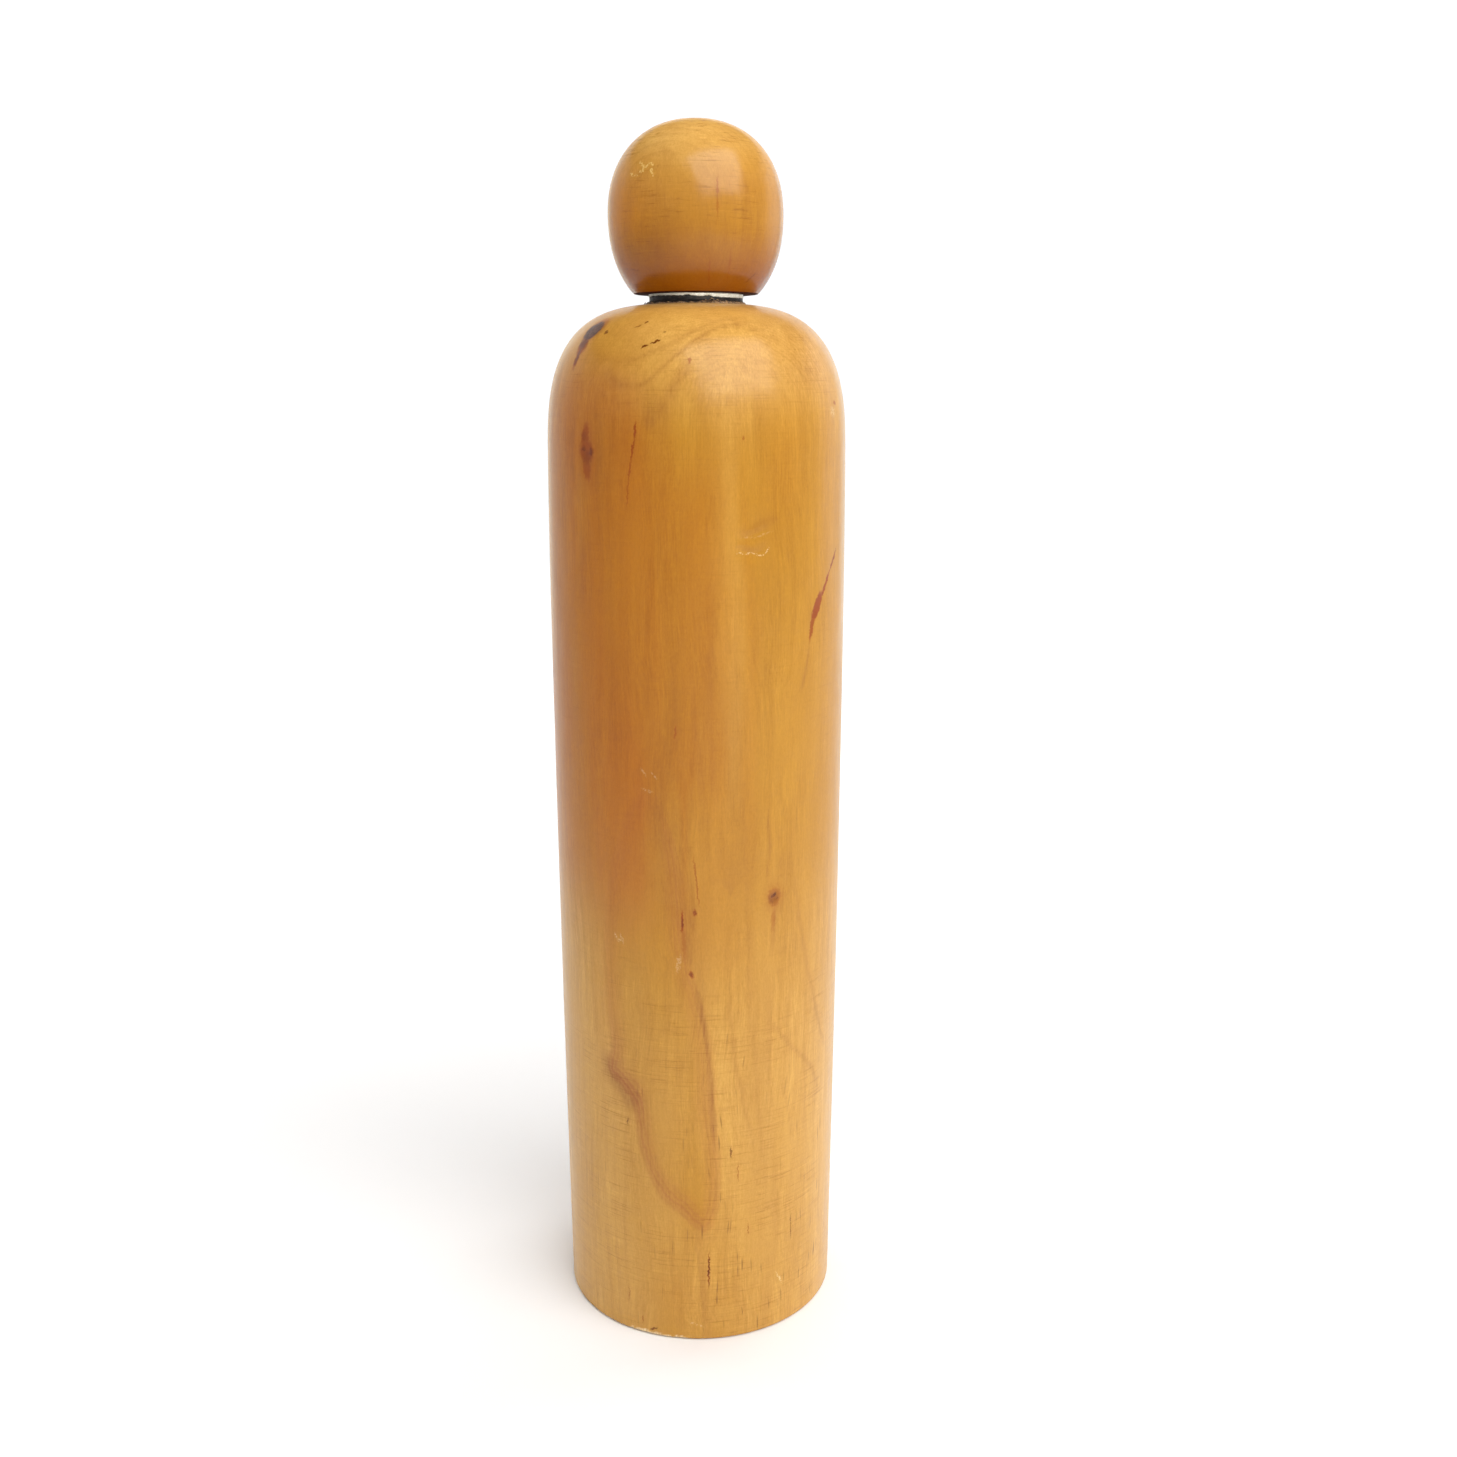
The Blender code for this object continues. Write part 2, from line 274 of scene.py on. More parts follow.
# ------------------------------------------------------------------ shader nodes
class Net:
    """Builds a node tree with short calls. Values may be numbers or sockets."""

    def __init__(self, name):
        self.material = bpy.data.materials.new(name)
        self.material.use_nodes = True
        self.tree = self.material.node_tree
        self.tree.nodes.clear()
        self.out = self.tree.nodes.new("ShaderNodeOutputMaterial")
        self.shader = self.tree.nodes.new("ShaderNodeBsdfPrincipled")
        self.tree.links.new(self.shader.outputs["BSDF"], self.out.inputs["Surface"])
        coords = self.tree.nodes.new("ShaderNodeTexCoord")
        scaled = self.tree.nodes.new("ShaderNodeVectorMath")
        scaled.operation = "SCALE"
        scaled.inputs["Scale"].default_value = 1000.0
        self.tree.links.new(coords.outputs["Object"], scaled.inputs[0])
        self.p = scaled.outputs["Vector"]  # the point in mm

    def put(self, socket, value):
        if isinstance(value, bpy.types.NodeSocket):
            self.tree.links.new(value, socket)
        elif isinstance(value, (tuple, list, Vector)) and socket.type == "RGBA":
            socket.default_value = tuple(value) if len(value) == 4 else (*value, 1.0)
        else:
            socket.default_value = value

    def math(self, op, a, b=None, c=None, clamp=False):
        n = self.tree.nodes.new("ShaderNodeMath")
        n.operation = op
        n.use_clamp = clamp
        for k, v in enumerate((a, b, c)):
            if v is not None:
                self.put(n.inputs[k], v)
        return n.outputs[0]

    def add(self, a, b):
        return self.math("ADD", a, b)

    def sub(self, a, b):
        return self.math("SUBTRACT", a, b)

    def mul(self, a, b):
        return self.math("MULTIPLY", a, b)

    def top(self, *values):
        found = values[0]
        for v in values[1:]:
            found = self.math("MAXIMUM", found, v)
        return found

    def vec(self, op, a, b=None, scale=None):
        n = self.tree.nodes.new("ShaderNodeVectorMath")
        n.operation = op
        self.put(n.inputs[0], a)
        if b is not None:
            self.put(n.inputs[1], b)
        if scale is not None:
            self.put(n.inputs["Scale"], scale)
        return n.outputs["Value"] if op in ("LENGTH", "DOT_PRODUCT", "DISTANCE") else n.outputs[0]

    def parts(self, v):
        n = self.tree.nodes.new("ShaderNodeSeparateXYZ")
        self.put(n.inputs[0], v)
        return n.outputs[0], n.outputs[1], n.outputs[2]

    def join(self, x, y, z):
        n = self.tree.nodes.new("ShaderNodeCombineXYZ")
        for k, v in enumerate((x, y, z)):
            self.put(n.inputs[k], v)
        return n.outputs[0]

    def stretch(self, v, factors):
        return self.vec("MULTIPLY", v, Vector(factors))

    def noise(self, v, scale=1.0, detail=2.0, rough=0.5, distortion=0.0, colour=False):
        n = self.tree.nodes.new("ShaderNodeTexNoise")
        n.noise_dimensions = "3D"
        self.put(n.inputs["Vector"], v)
        n.inputs["Scale"].default_value = scale
        n.inputs["Detail"].default_value = detail
        n.inputs["Roughness"].default_value = rough
        n.inputs["Distortion"].default_value = distortion
        return n.outputs["Color"] if colour else n.outputs["Fac"]

    def cells(self, v, scale=1.0, randomness=1.0):
        n = self.tree.nodes.new("ShaderNodeTexVoronoi")
        n.voronoi_dimensions = "3D"
        n.feature = "F1"
        self.put(n.inputs["Vector"], v)
        n.inputs["Scale"].default_value = scale
        n.inputs["Randomness"].default_value = randomness
        return n.outputs["Distance"], n.outputs["Color"]

    def remap(self, v, a, b, c=0.0, d=1.0, soft=True):
        n = self.tree.nodes.new("ShaderNodeMapRange")
        n.interpolation_type = "SMOOTHSTEP" if soft else "LINEAR"
        self.put(n.inputs["Value"], v)
        for key, value in (("From Min", a), ("From Max", b), ("To Min", c), ("To Max", d)):
            self.put(n.inputs[key], value)
        return n.outputs["Result"]

    def mix(self, share, a, b, blend="MIX"):
        n = self.tree.nodes.new("ShaderNodeMix")
        n.data_type = "RGBA"
        n.blend_type = blend
        n.clamp_factor = True
        self.put(n.inputs["Factor"], share)
        self.put(n.inputs[6], a)
        self.put(n.inputs[7], b)
        return n.outputs[2]

    def attribute(self, name):
        n = self.tree.nodes.new("ShaderNodeAttribute")
        n.attribute_type = "GEOMETRY"
        n.attribute_name = name
        return n.outputs["Fac"]

    def bump(self, height, strength=1.0, distance=0.0001, normal=None):
        n = self.tree.nodes.new("ShaderNodeBump")
        n.inputs["Strength"].default_value = strength
        n.inputs["Distance"].default_value = distance
        self.put(n.inputs["Height"], height)
        if normal is not None:
            self.put(n.inputs["Normal"], normal)
        return n.outputs["Normal"]

    def blob(self, place, middle, along, out, half_long, half_wide, soft, strength=1.0):
        """1 inside an ellipsoid laid on the surface, 0 outside, with a soft edge."""
        x = along.normalized()
        n = (out - x * out.dot(x)).normalized()
        y = n.cross(x)
        turn = Matrix((x, y, n)).transposed().to_euler("XYZ")
        m = self.tree.nodes.new("ShaderNodeMapping")
        m.vector_type = "TEXTURE"
        self.put(m.inputs["Vector"], place)
        m.inputs["Location"].default_value = middle
        m.inputs["Rotation"].default_value = turn
        m.inputs["Scale"].default_value = (half_long, half_wide, max(half_long, 3.0))
        return self.remap(self.vec("LENGTH", m.outputs[0]), 1 + soft, 1 - soft, 0.0, strength)

    def set(self, **values):
        for key, value in values.items():
            self.put(self.shader.inputs[key.replace("_", " ")], value)


def srgb(r, g, b):
    return tuple(
        c / 255 / 12.92 if c / 255 <= 0.04045 else ((c / 255 + 0.055) / 1.055) ** 2.4
        for c in (r, g, b)
    )


def slope_normal(radius, phi, z):
    """Outward normal of a turned surface, in mm space."""
    dr = float(radius(z + 0.05) - radius(z - 0.05)) / 0.1
    a = math.radians(phi)
    return Vector((math.sin(a), -math.cos(a), -dr)).normalized()


def marks(net, place, radius, listed, after=None):
    """Ellipsoid marks between two points of the surface, with a width in mm.

    Each group of marks waits for the one before it, and the first for the mask in after, so that the
    shader never holds many values at once.
    """
    found, at = 0.0, place
    for k, (p0, z0, p1, z1, width, strength, soft) in enumerate(listed):
        if k % 6 == 0 and (k or after is not None):
            at = net.vec("ADD", place, net.mul(found if k else after, 1e-6))
        a, b = on_surface(radius, p0, z0), on_surface(radius, p1, z1)
        middle = (a + b) / 2
        out = slope_normal(radius, (p0 + p1) / 2, (z0 + z1) / 2)
        along = b - a
        half = along.length / 2
        if half < 1e-4:
            along, half = Vector((0, 0, 1)), width / 2
        blob = net.blob(at, middle, along, out, max(half, width / 2), width / 2, soft, strength)
        found = net.math("MAXIMUM", found, blob)
    return found


def wood(name, look, radius, dark, red, pale, knots=()):
    """Varnished, fine-pored hardwood. Growth and fibre run along Z."""
    net = Net(name)
    p = net.p
    px, py, pz = net.parts(p)
    wobble = net.noise(p, 1.1, 3.0, 0.55, colour=True)
    shaken = net.vec("ADD", p, net.stretch(net.vec("SUBTRACT", wobble, Vector((0.5, 0.5, 0.5))), (1.3, 1.3, 1.3)))

    # slow changes of tone over the piece
    colour = net.mix(net.attribute("brown"), look["yellow"], look["brown"])
    colour = net.mix(net.attribute("warm"), colour, look["warm"])
    colour = net.mix(net.attribute("pale"), colour, look["pale_tone"])

    # growth lines: a thin darker line with one soft side, where the growth field crosses whole numbers
    wave = net.noise(net.stretch(p, (0.3, 0.3, 0.06)), 1.0, 3.0, 0.55)
    field = net.add(net.attribute("grow"), net.mul(wave, 0.5))
    step = net.math("FRACT", field)
    line = net.mul(net.remap(step, 0.45, 0.93), net.remap(step, 1.0, 0.95))
    seen = net.noise(net.stretch(p, (0.10, 0.10, 0.03)), 1.0, 2.0, 0.5)
    line = net.mul(line, net.remap(seen, 0.36, 0.62, 0.2, 1.0))
    line = net.mul(line, net.attribute("grow_amp"))
    colour = net.mix(net.mul(line, look["growth"]), colour, look["line"])

    # the slanting layer: a soft inside, a firm outside, fine lines between
    ragged = net.noise(net.stretch(p, (0.9, 0.9, 0.35)), 1.0, 3.0, 0.6)
    away = net.add(net.attribute("slant_d"), net.mul(net.sub(ragged, 0.5), 1.5))
    layer = net.mul(net.remap(away, 0.9, -0.8), net.remap(away, -6.0, -1.2, 0.0, 1.0))
    lines = net.math("COSINE", net.mul(away, 5.2))
    layer = net.mul(layer, net.remap(lines, -1.0, 1.0, 0.58, 1.0, soft=False))
    layer = net.mul(layer, net.attribute("slant_amp"))
    colour = net.mix(layer, colour, look["flame"])

    # soft veins placed on the surface
    vein = net.attribute("vein")
    vein = net.mul(vein, net.remap(net.noise(net.stretch(p, (1.4, 1.4, 0.25)), 1.0, 3.0, 0.6), 0.25, 0.65, 0.6, 1.15))
    colour = net.mix(net.math("MINIMUM", vein, 1.0), colour, look["vein"])

    # streaks, fibres and fine grain change the depth of the colour
    sway = net.noise(net.stretch(p, (0.05, 0.05, 0.022)), 1.0, 2.0, 0.5, colour=True)
    bent = net.vec("ADD", p, net.stretch(net.vec("SUBTRACT", sway, Vector((0.5, 0.5, 0.5))), (7.0, 7.0, 0.0)))
    broad = net.noise(net.stretch(bent, (0.10, 0.10, 0.016)), 1.0, 3.0, 0.55)
    streaks = net.noise(net.stretch(bent, (0.42, 0.42, 0.020)), 1.0, 5.0, 0.72)
    fibres = net.noise(net.stretch(bent, (2.6, 2.6, 0.14)), 1.0, 3.0, 0.7)
    grain = net.noise(net.stretch(p, (2.6, 2.6, 1.1)), 1.0, 3.0, 0.7)
    seen_fibres = net.remap(net.noise(net.stretch(p, (0.09, 0.09, 0.035)), 1.0, 2.0, 0.6), 0.35, 0.62, 0.35, 1.15)
    depth = net.add(1.0, net.mul(net.sub(broad, 0.5), look["broad"]))
    depth = net.add(depth, net.mul(net.mul(net.sub(streaks, 0.5), look["streaks"]), seen_fibres))
    depth = net.add(depth, net.mul(net.mul(net.sub(fibres, 0.5), look["fibres"]), seen_fibres))
    depth = net.add(depth, net.mul(net.sub(grain, 0.5), look["grain"]))

    # faint marks of the turning tool, round the axis
    angle = net.math("ARCTAN2", px, net.mul(py, -1.0))
    turned = net.noise(net.join(net.mul(angle, 2.6), 0.0, net.mul(pz, 1.7)), 1.0, 4.0, 0.78)
    where = net.remap(net.noise(net.stretch(p, (0.07, 0.07, 0.05)), 1.0, 2.0, 0.6), 0.36, 0.60, 0.15, 1.0)
    where = net.mul(where, net.attribute("lathe"))
    grooves = net.mul(net.remap(turned, 0.53, 0.68), where)
    ridges = net.mul(net.remap(turned, 0.46, 0.32), where)
    rings = net.math("COSINE", net.mul(field, 20.0))
    rings = net.mul(net.remap(rings, -0.2, 1.0), net.mul(net.attribute("rings"), net.remap(seen, 0.30, 0.60, 0.25, 1.0)))
    depth = net.sub(depth, net.mul(rings, 0.055))
    depth = net.sub(depth, net.mul(grooves, look["lathe"]))
    depth = net.add(depth, net.mul(ridges, look["lathe"] * 0.5))
    tint = net.join(depth, net.math("POWER", depth, 1.35), net.math("POWER", depth, 1.9))
    colour = net.vec("MULTIPLY", colour, tint)

    # pores: short dark vessels along the grain
    distance, cell = net.cells(net.stretch(bent, (1.0, 1.0, 0.085)), 1.0, 1.0)
    chance = net.parts(cell)[0]
    thick = net.remap(net.noise(net.stretch(p, (0.08, 0.08, 0.03)), 1.0, 2.0, 0.5), 0.36, 0.60, 0.2, 1.0)
    pore = net.mul(net.remap(distance, 0.26, 0.10), net.remap(chance, 0.46, 0.64))
    pore = net.mul(pore, net.mul(thick, net.attribute("pores")))
    colour = net.mix(net.mul(pore, look["pores"]), colour, look["pore"])

    # placed marks
    dark_mask = marks(net, shaken, radius, dark)
    red_mask = marks(net, shaken, radius, red, dark_mask if dark else None)
    colour = net.mix(red_mask, colour, look["red"])
    mottled = net.mix(net.remap(net.noise(p, 1.3, 2.0, 0.6), 0.40, 0.62), look["dark"], look["dark_soft"])
    colour = net.mix(dark_mask, colour, mottled)
    if knots:
        stained = net.mix(net.remap(net.noise(p, 1.1, 2.0, 0.6), 0.42, 0.60), look["knot"], look["knot_soft"])
        colour = net.mix(marks(net, shaken, radius, knots, red_mask), colour, stained)
    flecks = net.remap(net.noise(p, 2.0, 3.0, 0.7), 0.42, 0.56)
    pale_mask = net.mul(marks(net, shaken, radius, pale, red_mask), flecks)
    colour = net.mix(net.mul(pale_mask, 0.8), colour, look["pale"])
    raw = net.attribute("raw")
    split = net.noise(net.stretch(p, (2.5, 2.5, 0.6)), 1.0, 3.0, 0.6)
    colour = net.mix(raw, colour, net.mix(net.remap(split, 0.3, 0.7), look["raw_light"], look["raw_dark"]))

    # height: pores and cracks sink, fibres and tool marks ripple the varnish slightly
    height = net.mul(fibres, 0.25)
    height = net.sub(height, net.mul(pore, 0.7))
    height = net.sub(height, net.mul(grooves, 0.35))
    height = net.add(height, net.mul(net.noise(net.stretch(p, (0.35, 0.35, 0.12)), 1.0, 3.0, 0.55), 1.5))
    rough = net.remap(net.noise(net.stretch(p, (0.5, 0.5, 0.12)), 1.0, 4.0, 0.6), 0.3, 0.7, 0.36, 0.50)
    rough = net.add(rough, net.mul(raw, 0.35))
    normal = net.bump(height, 0.5, 0.00009)
    net.set(Base_Color=colour, Roughness=rough, Normal=normal, Coat_Normal=normal)
    net.set(Coat_Weight=look["coat"], Coat_Roughness=look["coat_rough"], Coat_IOR=1.5, IOR=1.45)
    # old varnish is faintly hazy when it is seen edge on
    net.set(Sheen_Weight=look["haze"], Sheen_Roughness=0.28, Sheen_Tint=(1.0, 0.95, 0.80))
    net.shader.inputs["Specular IOR Level"].default_value = 0.0
    return net.material


LOOK = {
    "yellow": (0.480, 0.220, 0.018),
    "brown": (0.430, 0.165, 0.009),
    "warm": (0.440, 0.138, 0.006),
    "pale_tone": (0.630, 0.340, 0.078),
    "line": (0.300, 0.105, 0.018),
    "flame": (0.345, 0.090, 0.026),
    "vein": (0.262, 0.080, 0.013),
    "pore": srgb(98, 50, 14),
    "red": (0.282, 0.045, 0.0005),
    "dark": (0.100, 0.018, 0.0005),
    "dark_soft": (0.180, 0.042, 0.001),
    "knot": (0.066, 0.030, 0.024),
    "knot_soft": (0.108, 0.048, 0.036),
    "pale": srgb(232, 202, 140),
    "raw_light": srgb(247, 224, 176),
    "raw_dark": srgb(206, 160, 98),
    "broad": 0.26,
    "streaks": 0.46,
    "fibres": 0.42,
    "grain": 0.30,
    "growth": 0.42,
    "pores": 0.52,
    "lathe": 0.24,
    "coat": 0.735,
    "coat_rough": 0.235,
    "haze": 0.16,
}

# ------------------------------------------------------------------ where the wood's own marks lie
# Positions are (azimuth in degrees from the front, height in mm).
FLAME = [
    (-19.7, 147.5), (-23.4, 145.3), (-27.4, 140.9), (-31.4, 134.0), (-36.0, 122.4),
    (-38.4, 105.1), (-38.1, 89.1), (-36.5, 79.9), (-38.4, 72.9), (-31.4, 69.2),
    (-26.4, 65.3), (-24.2, 55.3), (-20.7, 46.3), (-13.6, 40.5), (-4.2, 35.4),
    (3.7, 31.4), (8.3, 36.9), (9.1, 45.1), (8.3, 56.9), (7.1, 67.1),
    (5.6, 79.4), (2.9, 91.7), (-1.2, 102.0), (-3.4, 108.0), (-4.5, 114.6),
    (-5.8, 127.6), (-10.0, 139.4), (-13.5, 145.3),
]  # fmt: skip
# (points, width in mm, strength, share of the length that fades in and out)
VEINS = [
    ([(-1.3, 247.5), (-4.1, 244.2), (-7.5, 240.9), (-9.8, 238.1), (-13.7, 235.2), (-16.6, 233.4)], 1.2, 0.32, 0.25),
    ([(-8.5, 239.5), (-13.7, 235.2), (-18.5, 231.5)], 2.4, 0.26, 0.3),
    ([(-37.5, 245.2), (-32.1, 243.2), (-24.6, 241.6), (-20.3, 241.8), (-15.8, 243.3), (-12.7, 245.2), (-8.0, 247.5), (-3.5, 249.9), (2.1, 252.3), (12.1, 254.7), (28.8, 255.3)], 0.45, 0.36, 0.10),
    ([(-37.0, 246.0), (-31.0, 242.8), (-24.0, 241.2)], 1.3, 0.26, 0.3),
    ([(-43.1, 249.1), (-35.5, 247.6), (-28.5, 247.1), (-21.7, 248.0), (-15.4, 249.4), (-6.8, 251.6), (-0.6, 253.5), (7.3, 255.4), (18.8, 256.5), (30.9, 256.6)], 0.5, 0.24, 0.10),
    ([(-44.0, 243.2), (-34.0, 239.0), (-24.0, 238.0), (-14.0, 240.2)], 0.5, 0.14, 0.3),
    ([(14.6, 254.7), (20.6, 255.7), (29.8, 255.5), (38.3, 255.1), (55.0, 254.4), (63.5, 254.1)], 0.3, 0.26, 0.15),
    ([(39.3, 256.9), (48.4, 256.7), (65.0, 256.9)], 0.25, 0.22, 0.25),
    ([(22.0, 253.6), (27.9, 254.0), (38.3, 253.8), (48.3, 253.1), (60.8, 253.2)], 0.3, 0.25, 0.15),
    ([(40.0, 252.4), (49.6, 252.1), (59.4, 252.4), (70.0, 252.3)], 0.35, 0.26, 0.2),
    ([(26.0, 249.2), (31.7, 248.8), (37.8, 248.6), (45.3, 248.8), (61.4, 248.7)], 0.4, 0.22, 0.2),
    ([(19.0, 247.2), (24.5, 246.8), (34.3, 246.5), (40.4, 245.5), (50.8, 245.6), (63.5, 245.8)], 0.4, 0.22, 0.2),
    ([(-1.6, 102.5), (1.4, 95.2), (3.7, 84.5), (5.6, 75.6), (6.3, 62.8), (7.5, 51.6)], 0.55, 0.56, 0.20),
    ([(-3.4, 113.0), (-2.4, 107.0), (-1.4, 102.2)], 0.7, 0.4, 0.3),
    ([(-38.3, 80.0), (-37.8, 74.0), (-34.0, 70.4), (-28.4, 66.5), (-25.6, 61.0)], 2.3, 0.46, 0.3),
    ([(-42.0, 71.0), (-38.0, 73.0)], 1.2, 0.3, 0.3),
    ([(-48.3, 238.5), (-50.4, 231.6), (-51.1, 225.9), (-49.5, 219.0), (-46.7, 213.3)], 0.8, 0.25, 0.2),
    ([(-40.4, 238.5), (-36.3, 231.9), (-35.9, 226.2), (-37.4, 220.5), (-40.1, 214.7)], 0.8, 0.18, 0.25),
    ([(-46.0, 213.0), (-46.2, 200.0), (-45.6, 186.0)], 1.6, 0.22, 0.35),
    ([(47.6, 182.9), (46.4, 178.5), (44.4, 173.6), (41.5, 168.4)], 0.5, 0.35, 0.35),
    ([(28.0, 144.9), (28.6, 132.3), (27.9, 124.7), (29.3, 121.2)], 0.35, 0.35, 0.3),
    ([(32.9, 121.5), (33.6, 129.2), (32.1, 139.5)], 0.35, 0.22, 0.3),
    ([(31.1, 118.4), (30.7, 112.7), (30.0, 103.6)], 0.6, 0.40, 0.4),
    ([(38.3, 133.7), (42.4, 117.6), (48.3, 100.7), (57.9, 82.1), (71.5, 67.2)], 0.6, 0.28, 0.25),
    ([(25.4, 91.0), (39.9, 79.2), (53.9, 69.7), (61.5, 58.6)], 0.6, 0.28, 0.3),
    ([(14.7, 202.9), (15.8, 170.1), (18.7, 133.1), (21.1, 94.1), (25.8, 61.0), (32.2, 22.7)], 0.6, 0.14, 0.2),
    ([(11.8, 100.1), (15.1, 78.6), (20.6, 61.6), (26.0, 46.9)], 0.5, 0.22, 0.3),
    ([(34.0, 74.0), (39.0, 62.0), (42.0, 48.0)], 0.5, 0.16, 0.3),
    ([(-3.0, 39.1), (1.0, 33.5), (5.8, 29.1), (9.9, 35.1)], 0.6, 0.12, 0.3),
    ([(5.5, 215.0), (6.5, 190.0), (6.0, 160.0), (8.5, 130.0)], 1.0, 0.13, 0.3),
    ([(-6.6, 175.0), (-7.3, 164.0), (-7.5, 156.0)], 0.7, 0.16, 0.4),
    ([(60.0, 233.0), (66.0, 238.0), (75.0, 242.0)], 1.0, 0.18, 0.3),
    ([(18.0, 209.6), (22.0, 210.4), (26.1, 211.5), (32.0, 212.2)], 0.9, 0.30, 0.35),
    ([(-7.7, 184.0), (-7.4, 170.3), (-7.7, 158.0)], 0.5, 0.14, 0.3),
    ([(-1.8, 178.0), (-0.4, 168.0), (1.0, 156.0), (2.0, 143.0)], 0.7, 0.16, 0.3),
    ([(3.9, 176.0), (4.6, 164.0), (5.6, 152.0)], 0.5, 0.12, 0.3),
    ([(0.4, 168.0), (2.6, 154.0), (3.4, 138.0)], 0.35, 0.14, 0.3),
    ([(16.0, 209.4), (19.0, 209.0), (24.0, 209.8), (28.5, 211.0)], 0.5, 0.22, 0.2),
    ([(15.0, 205.3), (19.0, 205.3), (24.5, 204.9), (27.0, 206.2)], 0.5, 0.12, 0.2),
    # on the side away from the front, so that the wood runs on all round
    ([(150.0, 226.0), (154.0, 190.0), (149.0, 150.0), (156.0, 105.0), (166.0, 60.0)], 0.9, 0.25, 0.2),
    ([(-160.0, 150.0), (-168.0, 128.0), (-170.0, 96.0), (-162.0, 64.0), (-150.0, 44.0), (-141.0, 62.0), (-139.0, 100.0), (-144.0, 134.0), (-160.0, 150.0)], 1.1, 0.30, 0.05),
    ([(105.0, 204.0), (109.0, 170.0), (118.0, 140.0), (121.0, 96.0)], 0.8, 0.22, 0.3),
    ([(-100.0, 120.0), (-104.0, 86.0), (-96.0, 50.0)], 0.8, 0.25, 0.3),
]  # fmt: skip
# (azimuth, height, azimuth, height, width, strength, softness)
BODY_DARK = [
    (-54.5, 252.2, -55.2, 249.2, 2.3, 0.50, 0.40),
    (-55.0, 249.8, -55.7, 246.2, 1.1, 0.60, 0.40),
    (-44.3, 253.7, -42.9, 253.7, 1.1, 0.85, 0.35),
    (-28.5, 254.6, -24.9, 255.2, 0.55, 0.65, 0.4),
    (-24.2, 255.8, -22.9, 255.8, 0.8, 0.85, 0.35),
    (-13.4, 253.5, -12.4, 253.7, 0.6, 0.5, 0.4),
    (-21.5, 250.0, -18.8, 250.8, 0.6, 0.95, 0.3),
    (-17.6, 250.9, -14.1, 251.9, 0.65, 0.95, 0.3),
    (-44.7, 228.1, -44.2, 226.8, 1.3, 0.66, 0.5),
    (-40.6, 227.7, -40.2, 225.9, 1.5, 0.70, 0.5),
    (-42.9, 226.2, -42.5, 224.9, 2.8, 0.34, 0.6),
    (-44.1, 231.4, -44.0, 229.2, 1.4, 0.34, 0.6),
    (-0.3, 118.2, -0.1, 117.1, 0.5, 0.55, 0.4),
    (66.2, 203.4, 60.6, 198.2, 0.42, 0.50, 0.35),
    (29.7, 119.9, 32.1, 120.8, 1.0, 0.92, 0.3),
    (30.6, 120.6, 30.9, 118.6, 2.8, 0.42, 0.5),
    (29.5, 119.0, 30.6, 119.1, 0.8, 0.55, 0.4),
    (32.2, 119.0, 33.0, 119.6, 0.5, 0.6, 0.4),
    (-2.0, 102.3, -1.6, 101.3, 0.7, 0.50, 0.4),
    (-5.0, 116.5, -5.2, 113.8, 0.35, 0.6, 0.5),
    (-28.9, 61.3, -29.2, 59.0, 0.34, 0.75, 0.35),
    (13.6, 54.9, 13.4, 51.8, 0.42, 0.70, 0.35),
    (41.8, 31.0, 42.1, 23.9, 0.32, 0.75, 0.35),
    (4.6, 23.8, 4.4, 18.1, 0.42, 0.85, 0.3),
    (4.5, 18.3, 4.4, 15.6, 0.25, 0.7, 0.4),
    (-20.7, 1.5, -17.5, 2.4, 0.6, 0.85, 0.35),
]  # fmt: skip
BODY_KNOT = [
    (-51.7, 256.0, -57.1, 252.1, 5.5, 0.95, 0.16),
    (-55.2, 252.9, -56.2, 250.2, 3.2, 0.55, 0.35),
    (-55.0, 250.6, -55.6, 247.0, 1.0, 0.35, 0.4),
]
